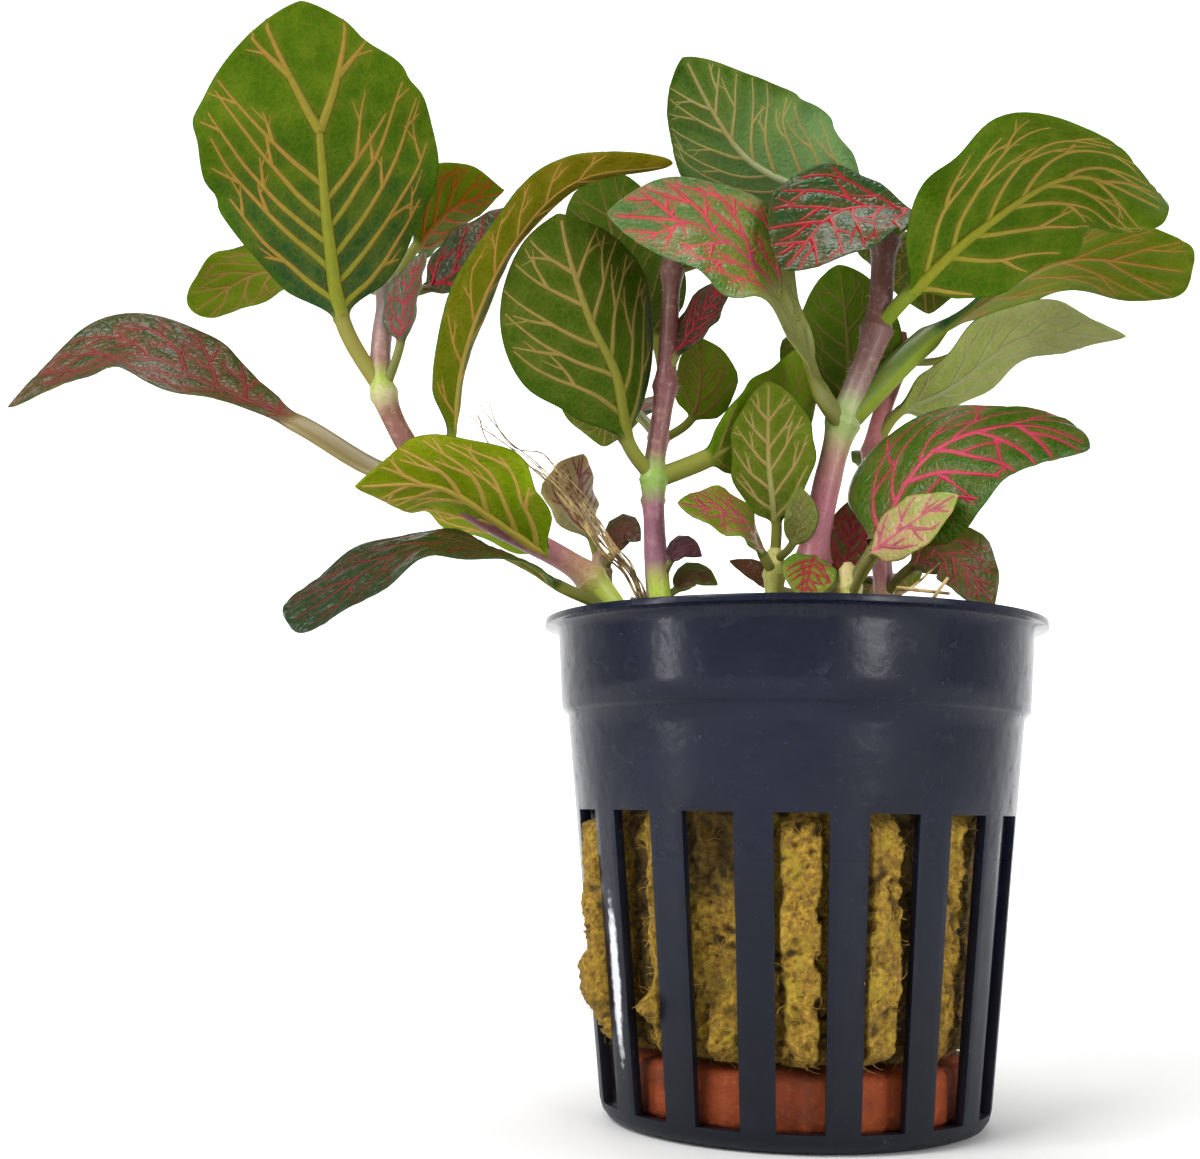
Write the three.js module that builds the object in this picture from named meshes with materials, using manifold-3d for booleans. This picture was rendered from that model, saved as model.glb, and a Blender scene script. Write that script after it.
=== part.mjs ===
// Potted nerve plant: a small creeping house plant rooted in a slotted net pot.
// Millimetres, +Z up. The origin is the middle of the pot's underside, and -Y is the front.
import * as THREE from 'three';
import { mergeVertices } from 'three/addons/utils/BufferGeometryUtils.js';
import Module from 'manifold-3d';

const wasm = await Module();
wasm.setup();

// Net pot
const potHeight = 48;
const rimRadius = 25;
const rimThickness = 0.7;
const bandTopRadius = 23.6;
const bandBottomRadius = 23.1;
const bandBottom = 39.2;
const wallTopRadius = 22.5;
const wallBottomRadius = 18.75;
const cornerHeight = 1.9;
const baseRadius = 16.9;
const wallThickness = 1;
const potSides = 48;

// Slots in the pot's wall and floor
const slotCount = 16;
const slotTurn = -88;
const slotTop = 29.3;
const slotBottom = 1.9;
const slotTopWidth = 4.9;
const slotBottomWidth = 4.2;
const floorSlotCount = 8;
const floorSlotInner = 7;
const floorSlotLength = 7;
const floorSlotWidth = 2.6;

// Growing block of mineral wool, and the fired clay weight under it
const fitGap = 0.4;
const woolTop = 43.5;
const woolBottom = 7.3;
const woolRoughness = 0.7;
const clayTop = 6.7;
const clayBottom = wallThickness + 0.3;
const clayFlutes = 24;
const clayFluteDepth = 0.3;

// Stems and leaves
const rootDepth = 30;
const seatGap = 0.3;
const stemSides = 8;
const stemStep = 3.2;
const nodeSwelling = 0.28;
const nodeReach = 1.4;
const leafThickness = 0.7;
const smallestHalfWidth = 0.4;
const liftPower = 1.4;
const waveHeight = 0.035;
const leafStep = 3.2;
const slimmestStalk = 0.4;
const stalkPerWidth = 0.02;
const ribShare = 0.6;
const stalkBlend = 0.12;
const smallLeaf = 7;

const leafGreen = 0x3f6a2c;
const paleGreen = 0x7a8f5c;

// Each stem: its radius at the foot and at the top, then its foot, its leaf nodes and its growing tip.
const stems = {
  a: {
    radii: [1.35, 1.0], colour: 0x8c5a62,
    path: [[-16, -4.5, rootDepth], [-16.3, -4, 46], [-20, -5, 52], [-35, -7, 61],
      [-41, -8, 70.5], [-42, -4, 82.5], [-42, -3, 86]],
  },
  b: {
    radii: [1.25, 0.9], colour: 0x7d4656,
    path: [[-11, -2.5, rootDepth], [-13, -3, 48], [-14, -3, 62.5], [-13, -2, 72.5],
      [-12.5, -1, 85], [-12.3, -0.5, 89]],
  },
  c: {
    radii: [1.6, 1.2], colour: 0x96646e,
    path: [[2, 0.5, rootDepth], [2, -0.5, 48], [2, -1, 54.5], [5, -1, 68.5], [8.5, 0, 78.5],
      [9.5, 1, 88.5], [9.8, 1.3, 92]],
  },
  d: {
    radii: [1.0, 0.9], colour: 0xa7b545,
    path: [[6.5, -7, rootDepth], [6, -6.5, 46], [5.5, -6, 51], [5.3, -6, 53.5]],
  },
  e: {
    radii: [1.2, 0.9], colour: 0x8c5a50,
    path: [[9.5, 6.5, rootDepth], [9.5, 7, 52], [8.5, 7, 67.5], [11.5, 10, 78], [12, 10.8, 81.5]],
  },
  f: {
    radii: [1.2, 0.9], colour: 0x8c6450,
    path: [[-11, 7, rootDepth], [-14.5, 8, 51.5], [-15, 8, 62.5], [-14.5, 8.5, 69.5], [-14.3, 9, 72.5]],
  },
  g: {
    radii: [1.0, 0.85], colour: 0x8a6a58,
    path: [[-16.5, 3.5, rootDepth], [-18, 4, 46], [-20, 4, 54], [-20.2, 4.2, 56.5]],
  },
  h: {
    radii: [0.95, 0.85], colour: 0xa7b545,
    path: [[-2.5, -6, rootDepth], [-2, -5, 46], [-1.8, -4.5, 52.5], [-1.7, -4.3, 55.5]],
  },
};

// Each leaf grows from the stem that its name starts with. Its path runs up the stalk and the
// midrib, from the stem's centre to the tip. facing is the way its upper face looks half way along
// (azimuth and elevation in degrees), folds lift its right and left halves, twist turns it from base
// to tip, lean makes the right half wider, and widest and point shape the outline.
const leafDefaults = { stalkSteps: 1, folds: [10, 10], twist: 0, lean: 0, widest: 0.45, point: 0.8 };
const leaves = {
  a3_front: {
    path: [[-41, -8, 70.5], [-45.5, -8, 78], [-46.5, -10, 86], [-47, -13, 94.5], [-48.5, -17, 108.4]],
    facing: [120, 15], width: 24.8, folds: [6, 6], lean: -0.02, widest: 0.56, point: 0.9,
  },
  a3_small: {
    path: [[-41, -8, 70.5], [-39.3, -8.7, 75.5], [-38.8, -9, 80.5], [-37, -9, 85]],
    facing: [-130, 10], width: 6.5,
  },
  a2_left: {
    path: [[-35, -7, 61], [-42.5, -5, 63.5], [-51, -4, 68.5], [-61.5, -2, 73.3], [-71.5, -1, 77.1],
      [-84, -2, 71.2]],
    stalkSteps: 2, facing: [-75, 45], width: 13.5, folds: [15, 15], twist: -6, widest: 0.6, point: 1,
  },
  a2_right: {
    path: [[-35, -7, 61], [-34, -8, 65.5], [-32.8, -9, 74], [-28.3, -10, 84.5], [-22, -9, 92], [-12, -8, 94]],
    facing: [165, 30], width: 7.6, folds: [20, 20], twist: 5, lean: 0.05, widest: 0.36, point: 1,
  },
  a1_front: {
    path: [[-20, -5, 52], [-24, -6, 54.3], [-28.5, -8, 57.3], [-34, -11, 60.3], [-42, -14, 59.8]],
    facing: [70, 60], width: 15.5, folds: [6, 6], twist: 14, lean: -0.1, widest: 0.48, point: 0.9,
  },
  a1_low: {
    path: [[-18.4, -4.6, 49.3], [-22.5, -8.3, 50.8], [-27.5, -12.3, 53.4], [-35, -15, 53.9], [-46.8, -18, 46]],
    facing: [-105, 60], width: 13.5, folds: [-5, 3], twist: -28, lean: 0.1, widest: 0.42, point: 0.25,
  },
  a4_right: {
    path: [[-42, -4, 82.5], [-38.5, -3, 83], [-33, -3, 86.5], [-27.5, -4, 91.5]],
    facing: [-110, 20], width: 8.5, folds: [15, 15],
  },
  a4_left: {
    path: [[-42, -4, 82.5], [-50, 1, 85.5], [-58.5, 4, 88], [-67, 6, 84]],
    facing: [100, 80], width: 11, folds: [2, 2], twist: 16, point: 0.45,
  },
  a4_back: {
    path: [[-42, -4, 82.5], [-40.5, 1, 89], [-36.5, 4, 95], [-31.8, 6, 97.3]],
    facing: [160, 35], width: 11, folds: [15, 15], point: 1,
  },
  b1_left: {
    path: [[-14, -3, 62.5], [-16.5, -5, 66], [-17.5, -7, 72.5], [-20, -9, 77.5], [-22.5, -11, 84.5],
      [-23, -12, 87.5]],
    facing: [115, 5], width: 20.5, folds: [11, 30], twist: -50, lean: -0.05, widest: 0.5, point: 0.6,
  },
  b1_right: {
    path: [[-14, -3, 62.5], [-9, -0.8, 65], [-3.5, 1.2, 68.3], [0, 2, 72.5], [1.5, 2.3, 78]],
    facing: [130, 15], width: 9.6, folds: [8, 8], widest: 0.5,
  },
  b2_left: {
    path: [[-13, -2, 72.5], [-14.5, 3.8, 79], [-18, 5.5, 86.5], [-21.5, 6.5, 98.5]],
    facing: [85, 8], width: 13, folds: [5, 5], point: 0.3,
  },
  b2_right: {
    path: [[-13, -2, 72.5], [-12, -2.3, 75.5], [-9, -3, 80], [-6, -5, 83]],
    facing: [-130, 15], width: 6, folds: [4, 4], twist: 13,
  },
  h1_up: {
    path: [[-1.8, -4.5, 54], [-1.6, -4.2, 57.5], [-2.3, -4, 65], [-2.5, -4, 72.3]],
    facing: [60, 0], width: 10, folds: [5, 5], twist: 12, widest: 0.5, point: 0.65,
  },
  h1_left: {
    path: [[-1.8, -4.5, 52.4], [-2.9, -6.3, 54.2], [-5, -8.5, 57.4], [-11, -11, 58.6]],
    facing: [-55, 45], width: 9, folds: [2, 2], twist: -18, widest: 0.4,
  },
  c0_down: {
    path: [[2, -1, 53], [2, -5, 54], [1.5, -7, 52], [1, -8, 49.5]],
    facing: [-80, 25], width: 5.5,
  },
  c1_left: {
    path: [[5, -1, 68.5], [3, -3, 71], [0.5, -5, 76.5], [-3, -7, 82.5], [-9, -10, 86.5], [-18, -13, 87]],
    facing: [-45, 20], width: 16.5, folds: [12, 12], twist: -35, lean: -0.15, point: 0.7,
  },
  c1_right: {
    path: [[5, -1, 68.5], [13.9, 5, 78.9], [20.7, 9.1, 84.5], [30.2, 11.3, 89.7], [42.5, 9.5, 87.5]],
    facing: [170, 65], width: 17.6, folds: [0, 0], twist: -32, lean: -0.05, point: 0.25,
  },
  c1_back: {
    path: [[5, -1, 68.5], [5.8, 3.5, 71.5], [6, 5.3, 77.5], [5.5, 5.5, 82.5], [4.8, 5.2, 87.5]],
    facing: [85, 5], width: 11.5, folds: [12, 12], widest: 0.5, point: 0.6,
  },
  c2_right: {
    path: [[8.5, 0, 78.5], [11.5, -2, 81.5], [18.5, -4, 87.5], [27.5, -7, 92], [36, -9, 87.5]],
    facing: [135, 60], width: 22.5, folds: [-2, -16], twist: 38, lean: 0.15, widest: 0.56, point: 0.35,
  },
  c3_back: {
    path: [[9.5, 1, 88.5], [8, 1.5, 92.5], [1.5, 2, 95], [-4.5, 1, 97.9], [-8.5, -1, 102.5], [-11.5, -3, 107.7]],
    facing: [70, 40], width: 18, folds: [21, 21], twist: 25, lean: 0.08, widest: 0.47, point: 0.7,
  },
  c3_front: {
    path: [[9.5, 1, 88.5], [12, -0.5, 91.8], [5, -5, 91.4], [-1, -11, 82.8]],
    facing: [-80, 35], width: 14.2, folds: [14, 14], twist: -10, lean: -0.1, widest: 0.42, point: 0.65,
  },
  d1_big: {
    path: [[5.5, -6, 51], [7.8, -7.5, 54.5], [10.4, -9.1, 60.5], [13.6, -9.9, 64], [19.5, -10.7, 65.7],
      [27.3, -12.5, 64.6]],
    facing: [-130, 35], width: 20, folds: [-10, -12], twist: -25, lean: -0.04, widest: 0.38, point: 0.9,
  },
  d1_small: {
    path: [[5.6, -6.3, 50.2], [7.5, -11.3, 53.5], [11, -14, 56], [15, -15.5, 58.3]],
    facing: [-125, 15], width: 6, folds: [3, 3], lean: 0.05,
  },
  e0_low: {
    path: [[9.5, 7, 52], [12, 4, 54.5], [15.5, 3, 55.8], [20.3, 3, 50.3]],
    facing: [-70, 20], width: 8, folds: [12, 12], twist: 13,
  },
  e1_right: {
    path: [[8.5, 7, 67.5], [11, 7, 71.5], [16, 7, 74], [25, 7, 80], [34.5, 5, 79]],
    facing: [145, 50], width: 12.5, folds: [5, 5], point: 0.9,
  },
  e2_right: {
    path: [[11.5, 10, 78], [17, 18, 80.5], [25, 24.5, 86], [33, 27, 86.5]],
    facing: [125, 60], width: 5, folds: [4, 4],
  },
  f2_front: {
    path: [[-14.5, 8.5, 69], [-11, 8.5, 71.5], [-9.8, 8, 75.5], [-10.5, 7, 80.5]],
    facing: [65, 15], width: 8,
  },
  g1_up: {
    path: [[-20, 4, 54], [-21, 4.6, 57.5], [-22.7, 4.8, 62], [-22.2, 4.8, 67]],
    facing: [-25, 5], width: 10.5, folds: [-7, -7], twist: -9, lean: -0.1,
  },
  g1_small: {
    path: [[-20, 4, 53.5], [-18.7, 2.8, 56], [-17.5, 2, 58.3], [-15.7, 1.5, 57]],
    facing: [-115, 15], width: 3.6,
  },
  b0_dark: {
    path: [[-13.3, -3, 51.5], [-12.2, -3.6, 54], [-11, -3.8, 55.5], [-9, -4, 54.5]],
    facing: [-110, 15], width: 2.4,
  },
  b0_green: {
    path: [[-13.2, -3, 50.5], [-11.8, -2, 51.3], [-10, -1.5, 53], [-7.5, -1.5, 52]],
    facing: [-90, 30], width: 3,
  },
  c0_twig: {
    path: [[2, -0.7, 51], [-1.2, 2, 52], [-4, 2.2, 54], [-6.5, 2.2, 55]],
    facing: [-80, 15], width: 2.4,
  },
  c0_right: {
    path: [[2, -0.7, 51], [4.8, 1.5, 53], [5.8, 2, 56.5], [6.3, 2, 61.5]],
    facing: [-100, 10], width: 6,
  },
  h1_right: {
    path: [[-1.8, -4.5, 53.8], [-0.1, -6.4, 55.2], [0.8, -7, 58], [0.6, -6.8, 61]],
    facing: [-70, 5], width: 3.6,
  },
  b3_back: {
    path: [[-12.5, -1, 85], [-9, 2.5, 87.5], [-8, 10, 91], [-8.5, 17, 90.5]],
    facing: [-90, 70], width: 9, folds: [12, 12],
  },
  c3_far: {
    path: [[9.5, 1, 88.5], [11, 7, 91], [14, 15, 93], [16, 25, 88]],
    facing: [-95, 70], width: 16, folds: [12, 12],
  },
  e2_back: {
    path: [[11.5, 10, 78], [9.5, 14, 80], [6, 20, 82], [3, 28, 78]],
    facing: [-80, 65], width: 15, folds: [10, 10],
  },
  e1_back: {
    path: [[8.5, 7, 67.5], [10.5, 13, 69], [13, 20, 69.5], [15, 28, 64]],
    facing: [-110, 65], width: 13, folds: [10, 10],
  },
  e0_back: {
    path: [[9.5, 7, 52], [9.5, 12, 54], [9, 19, 55.5], [8, 28, 52]],
    facing: [-90, 70], width: 12, folds: [8, 8],
  },
  f2_back: {
    path: [[-14.5, 8.5, 69.5], [-17, 13, 73], [-21, 21, 76.5], [-23, 30, 73.5]],
    facing: [-80, 70], width: 13, folds: [10, 10],
  },
  f0_back: {
    path: [[-14.5, 8, 51.5], [-13.5, 13, 52], [-13, 20, 52.5], [-13, 28, 50.5]],
    facing: [-90, 75], width: 11, folds: [6, 6],
  },
};

// Dry roots and straw: a few old strands leaning out of the block towards the left.
const dryRoots = {
  radius: 0.45, sides: 6, step: 5,
  path: [[-13.2, 1, 38], [-14.6, 0.5, 48], [-16.5, 0, 53.5], [-19.5, -0.5, 57], [-24, -1, 63],
    [-29, -1.5, 66.5], [-32, -2, 70]],
};

function vector([x, y, z]) {
  return new THREE.Vector3(x, y, z);
}

function smoothStep(x) {
  const t = THREE.MathUtils.clamp(x, 0, 1);
  return t * t * (3 - 2 * t);
}

// Closed geometry from rings of points that all have the same count, with flat fans at both ends.
// mirrored(k) picks the other diagonal in column k.
function loft(rings, mirrored = () => false) {
  const count = rings[0].length;
  const positions = rings.flat().flatMap((point) => point.toArray());
  const index = [];
  for (let row = 0; row < rings.length - 1; row += 1) {
    for (let k = 0; k < count; k += 1) {
      const next = (k + 1) % count;
      const [a, b] = [row * count + k, row * count + next];
      const [c, d] = [a + count, b + count];
      if (mirrored(k)) index.push(a, b, c, b, d, c);
      else index.push(a, b, d, a, d, c);
    }
  }
  const last = (rings.length - 1) * count;
  for (let k = 1; k < count - 1; k += 1) {
    index.push(0, k + 1, k);
    index.push(last, last + k, last + k + 1);
  }
  const geometry = new THREE.BufferGeometry();
  geometry.setAttribute('position', new THREE.Float32BufferAttribute(positions, 3));
  geometry.setIndex(index);
  return facingOut(geometry);
}

function facingOut(geometry) {
  const position = geometry.attributes.position;
  const index = geometry.index.array;
  const [a, b, c] = [new THREE.Vector3(), new THREE.Vector3(), new THREE.Vector3()];
  let volume = 0;
  for (let i = 0; i < index.length; i += 3) {
    a.fromBufferAttribute(position, index[i]);
    b.fromBufferAttribute(position, index[i + 1]);
    c.fromBufferAttribute(position, index[i + 2]);
    volume += a.dot(b.cross(c));
  }
  if (volume < 0) geometry.setIndex(Array.from(index).reverse());
  return geometry;
}

function toSolid(geometry) {
  const bare = geometry.clone();
  bare.deleteAttribute('normal');
  bare.deleteAttribute('uv');
  const merged = facingOut(mergeVertices(bare, 1e-4));
  return new wasm.Manifold(new wasm.Mesh({
    numProp: 3,
    vertProperties: new Float32Array(merged.attributes.position.array),
    triVerts: new Uint32Array(merged.index.array),
  }));
}

function toGeometry(solid) {
  const mesh = solid.getMesh();
  const geometry = new THREE.BufferGeometry();
  geometry.setAttribute('position', new THREE.BufferAttribute(mesh.vertProperties, 3));
  geometry.setIndex(new THREE.BufferAttribute(mesh.triVerts, 1));
  return geometry;
}

function revolved(profile, sides) {
  const points = profile.map(([radius, height]) => new THREE.Vector2(radius, height));
  return new THREE.LatheGeometry(points, sides).rotateX(Math.PI / 2);
}

// Radius of the pot's outer wall at a height below the band.
function wallRadius(height) {
  const share = (height - cornerHeight) / (bandBottom - 0.6 - cornerHeight);
  return THREE.MathUtils.lerp(wallBottomRadius, wallTopRadius, share);
}

function potBody() {
  const outside = [
    [0, 0], [baseRadius, 0], [baseRadius + 1.1, 0.4], [baseRadius + 1.65, 1.1],
    [wallBottomRadius, cornerHeight], [wallRadius(slotTop + 1), slotTop + 1],
    [wallTopRadius, bandBottom - 0.6], [bandBottomRadius, bandBottom],
    [bandTopRadius, potHeight - 1.4], [bandTopRadius + 0.5, potHeight - rimThickness],
    [rimRadius, potHeight - rimThickness + 0.1], [rimRadius, potHeight],
  ];
  const inside = [
    [bandTopRadius - 0.4, potHeight], [bandTopRadius - wallThickness, potHeight - 0.6],
    [bandBottomRadius - wallThickness, bandBottom], [wallTopRadius - wallThickness, bandBottom - 0.6],
    [wallBottomRadius - wallThickness - 0.2, wallThickness], [0, wallThickness],
  ];
  return toSolid(revolved([...outside, ...inside], potSides));
}

// One tapered cutter for a wall slot, reaching from inside the wall to outside it.
function wallSlot(angle) {
  const outline = new THREE.Shape([
    new THREE.Vector2(-slotBottomWidth / 2, slotBottom),
    new THREE.Vector2(slotBottomWidth / 2, slotBottom),
    new THREE.Vector2(slotTopWidth / 2, slotTop),
    new THREE.Vector2(-slotTopWidth / 2, slotTop),
  ]);
  const cutter = new THREE.ExtrudeGeometry(outline, { depth: rimRadius, bevelEnabled: false });
  const radial = new THREE.Vector3(Math.cos(angle), Math.sin(angle), 0);
  const up = new THREE.Vector3(0, 0, 1);
  const across = new THREE.Vector3().crossVectors(up, radial);
  const turn = new THREE.Matrix4().makeBasis(across, up, radial);
  turn.setPosition(radial.clone().multiplyScalar(baseRadius - 3));
  return toSolid(cutter.applyMatrix4(turn));
}

function floorSlot(angle) {
  const cutter = new THREE.BoxGeometry(floorSlotLength, floorSlotWidth, 4 * wallThickness);
  cutter.translate(floorSlotInner + floorSlotLength / 2, 0, 0);
  return toSolid(cutter.rotateZ(angle));
}

function netPot() {
  let pot = potBody();
  for (let i = 0; i < slotCount; i += 1) {
    const angle = THREE.MathUtils.degToRad(slotTurn + (i * 360) / slotCount);
    pot = pot.subtract(wallSlot(angle));
  }
  for (let i = 0; i < floorSlotCount; i += 1) {
    pot = pot.subtract(floorSlot((i * 2 * Math.PI) / floorSlotCount));
  }
  return toGeometry(pot);
}

// Rough block: a revolved body whose side is dented by a few slow waves.
function rockwool(holes) {
  const sides = 28;
  const rows = 9;
  const rings = [];
  for (let row = 0; row <= rows; row += 1) {
    const height = THREE.MathUtils.lerp(woolBottom, woolTop, row / rows);
    const ring = [];
    for (let k = 0; k < sides; k += 1) {
      const angle = (k * 2 * Math.PI) / sides;
      const dent = 0.5 + 0.25 * Math.sin(3 * angle + row) + 0.25 * Math.sin(7 * angle - 2.3 * row);
      const edge = row === 0 || row === rows ? 1 : 0;
      const radius = wallRadius(height) - wallThickness - fitGap - woolRoughness * (dent + edge);
      const bumpy = height + (edge ? 0.35 * Math.sin(5 * angle) : 0);
      ring.push(new THREE.Vector3(radius * Math.cos(angle), radius * Math.sin(angle), bumpy));
    }
    rings.push(ring);
  }
  let block = toSolid(capped(rings));
  for (const hole of holes) block = block.subtract(hole);
  return toGeometry(block);
}

// Rings closed by fans round a middle point, for wide rough ends.
function capped(rings) {
  const middle = (ring) => {
    const centre = new THREE.Vector3();
    for (const point of ring) centre.addScaledVector(point, 1 / ring.length);
    return ring.map((point) => centre.clone().lerp(point, 0.02));
  };
  return loft([middle(rings[0]), ...rings, middle(rings[rings.length - 1])]);
}

// Flat disc of fired clay with a gently fluted edge.
function clayWeight() {
  const sides = clayFlutes * 2;
  const ring = (height, inset) => {
    const points = [];
    for (let k = 0; k < sides; k += 1) {
      const angle = (k * 2 * Math.PI) / sides;
      const flute = k % 2 === 0 ? 0 : clayFluteDepth;
      const radius = wallRadius(clayBottom) - wallThickness - 2 * fitGap - inset - flute;
      points.push(new THREE.Vector3(radius * Math.cos(angle), radius * Math.sin(angle), height));
    }
    return points;
  };
  return loft([ring(clayBottom, 0.6), ring(clayBottom + 0.6, 0), ring(clayTop - 0.6, 0), ring(clayTop, 0.6)]);
}

function ringAround(centre, side, up, radius, count) {
  const ring = [];
  for (let k = 0; k < count; k += 1) {
    const angle = (k * 2 * Math.PI) / count;
    const point = centre.clone().addScaledVector(side, radius * Math.cos(angle));
    ring.push(point.addScaledVector(up, radius * Math.sin(angle)));
  }
  return ring;
}

// Tube through the given points, with rings on every point and between them. Its ends reach on
// by endGap, so that a wider tube is also longer.
function tube(path, radiusAt, sides, step, endGap) {
  const points = path.map(vector);
  const curve = new THREE.CatmullRomCurve3(points, false, 'centripetal');
  const spots = [];
  for (let i = 0; i < points.length - 1; i += 1) {
    const parts = Math.max(1, Math.round(points[i].distanceTo(points[i + 1]) / step));
    for (let k = 0; k < parts; k += 1) spots.push((i + k / parts) / (points.length - 1));
  }
  spots.push(1);
  let side = new THREE.Vector3(1, 0, 0);
  const rings = spots.map((spot) => {
    const along = curve.getTangent(spot);
    const ends = { 0: -endGap, 1: endGap };
    const reach = ends[spot] ?? 0;
    const centre = curve.getPoint(spot).addScaledVector(along, reach);
    side = side.clone().addScaledVector(along, -side.dot(along)).normalize();
    const up = new THREE.Vector3().crossVectors(along, side);
    return ringAround(centre, side, up, radiusAt(centre, spot), sides);
  });
  return loft(rings);
}

function stemGeometry(stem, extra) {
  const nodes = stem.path.slice(2, -1).map(vector);
  const radiusAt = (centre, spot) => {
    const plain = THREE.MathUtils.lerp(stem.radii[0], stem.radii[1], spot);
    const nearest = Math.min(...nodes.map((node) => node.distanceTo(centre)));
    const swollen = 1 + nodeSwelling * Math.exp(-((nearest / nodeReach) ** 2));
    const bud = spot === 1 ? 0.45 : 1;
    return plain * swollen * bud + extra;
  };
  return tube(stem.path, radiusAt, stemSides, stemStep, extra);
}

function rootGeometry(extra) {
  return tube(dryRoots.path, () => dryRoots.radius + extra, dryRoots.sides, dryRoots.step, extra);
}

// Half width of a blade of width 2 at a share of its length.
function outline(share, leaf) {
  const bulge = Math.log(0.5) / Math.log(leaf.widest);
  return Math.sin(Math.PI * share ** bulge) ** (0.6 + (leaf.point - 0.6) * share);
}

// Points at the given shares of the arc length between two parameters of a curve.
function evenPoints(curve, from, to, shares) {
  const steps = 96;
  const dense = [];
  for (let i = 0; i <= steps; i += 1) dense.push(curve.getPoint(from + ((to - from) * i) / steps));
  const lengths = [0];
  for (let i = 1; i <= steps; i += 1) lengths.push(lengths[i - 1] + dense[i].distanceTo(dense[i - 1]));
  return shares.map((share) => {
    const wanted = share * lengths[steps];
    let i = 1;
    while (i < steps && lengths[i] < wanted) i += 1;
    const mix = (wanted - lengths[i - 1]) / (lengths[i] - lengths[i - 1]);
    return dense[i - 1].clone().lerp(dense[i], mix);
  });
}

// Frames along a leaf: the upper face is set half way up the blade and carried both ways.
function leafFrames(points, middle, facing) {
  const last = points.length - 1;
  const frames = points.map((point, i) => {
    const ahead = points[Math.min(i + 1, last)].clone().sub(points[Math.max(i - 1, 0)]).normalize();
    return { point, ahead };
  });
  const carry = (i, from) => {
    const face = from.clone().addScaledVector(frames[i].ahead, -from.dot(frames[i].ahead));
    frames[i].face = face.normalize();
  };
  const [azimuth, elevation] = facing.map(THREE.MathUtils.degToRad);
  const look = new THREE.Vector3(
    Math.cos(elevation) * Math.cos(azimuth),
    Math.cos(elevation) * Math.sin(azimuth),
    Math.sin(elevation),
  );
  carry(middle, look);
  for (let i = middle + 1; i <= last; i += 1) carry(i, frames[i - 1].face);
  for (let i = middle - 1; i >= 0; i -= 1) carry(i, frames[i + 1].face);
  return frames;
}

// Ten points round the stalk, in the same order as round the blade.
function stalkRing(frame, radius) {
  const ring = [];
  for (let k = 0; k < 10; k += 1) {
    const angle = THREE.MathUtils.degToRad(162 - 36 * k);
    const point = frame.point.clone().addScaledVector(frame.right, radius * Math.cos(angle));
    ring.push(point.addScaledVector(frame.face, radius * Math.sin(angle)));
  }
  return ring;
}

// Ten points round the blade at one row: five over the upper face, then five back underneath.
function bladeRing(frame, share, leaf, ribRadius) {
  const half = (leaf.width / 2) * outline(THREE.MathUtils.clamp(share, 0.001, 0.999), leaf);
  const sheet = [-1, -0.55, 0, 0.55, 1].map((v) => {
    const side = v < 0 ? 1 : 0;
    const fold = THREE.MathUtils.degToRad(leaf.folds[side]);
    const reach = Math.max(half * (1 + (side ? -leaf.lean : leaf.lean)), smallestHalfWidth);
    const wave = waveHeight * leaf.width * v * v * Math.sin(19 * share + 3 * side + leaf.width);
    const lift = reach * Math.sin(fold) * Math.abs(v) ** liftPower + wave * Math.sin(Math.PI * share);
    const slope = fold * Math.abs(v) ** 0.5 * Math.sign(v);
    const over = frame.face.clone().multiplyScalar(Math.cos(slope));
    over.addScaledVector(frame.right, -Math.sin(slope));
    const place = frame.point.clone().addScaledVector(frame.right, v * reach * Math.cos(fold));
    return { place: place.addScaledVector(frame.face, lift), over, v };
  });
  const top = sheet.map(({ place, over }) => place.clone().addScaledVector(over, leafThickness / 2));
  const under = sheet.map(({ place, over, v }) => {
    const rib = v === 0 ? ribRadius * (1 - share) : 0;
    return place.clone().addScaledVector(over, -leafThickness / 2 - rib);
  });
  return [...top, ...under.reverse()];
}

function leafGeometry(leaf) {
  const points = leaf.path.map(vector);
  const curve = new THREE.CatmullRomCurve3(points, false, 'centripetal');
  const bladeStart = leaf.stalkSteps / (points.length - 1);
  const length = points[leaf.stalkSteps].distanceTo(points[points.length - 1]);
  const rows = THREE.MathUtils.clamp(Math.round(length / leafStep), 5, 10);
  const shares = [];
  for (let i = 0; i <= rows; i += 1) shares.push((1 - Math.cos((Math.PI * i) / rows)) / 2);
  const stalkShares = leaf.stalkSteps > 1 ? [0, 0.2, 0.4, 0.6, 0.8] : [0, 0.34, 0.67];
  const stalk = evenPoints(curve, 0, bladeStart, stalkShares);
  const blade = evenPoints(curve, bladeStart, 1, shares);
  const middle = stalk.length + Math.round(rows / 2);
  const frames = leafFrames([...stalk, ...blade], middle, leaf.facing);
  const stalkRadius = slimmestStalk + stalkPerWidth * leaf.width;
  const rings = frames.map((frame, i) => {
    const share = i < stalk.length ? 0 : shares[i - stalk.length];
    const turn = THREE.MathUtils.degToRad(leaf.twist * (share - 0.5));
    const right = new THREE.Vector3().crossVectors(frame.ahead, frame.face);
    const face = frame.face.clone().multiplyScalar(Math.cos(turn)).addScaledVector(right, Math.sin(turn));
    right.crossVectors(frame.ahead, face);
    const turned = { point: frame.point, face, right };
    const round = stalkRing(turned, stalkRadius);
    if (i <= stalk.length) return round;
    const flat = bladeRing(turned, share, leaf, ribShare * stalkRadius);
    const spread = smoothStep(share / stalkBlend);
    return round.map((point, k) => point.lerp(flat[k], spread));
  });
  return loft(rings, (k) => k > 4 && k < 9);
}

function leafMaterial(leaf) {
  const colour = leaf.width < smallLeaf ? paleGreen : leafGreen;
  return new THREE.MeshStandardMaterial({ color: colour, roughness: 0.5, metalness: 0 });
}

const group = new THREE.Group();

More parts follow.
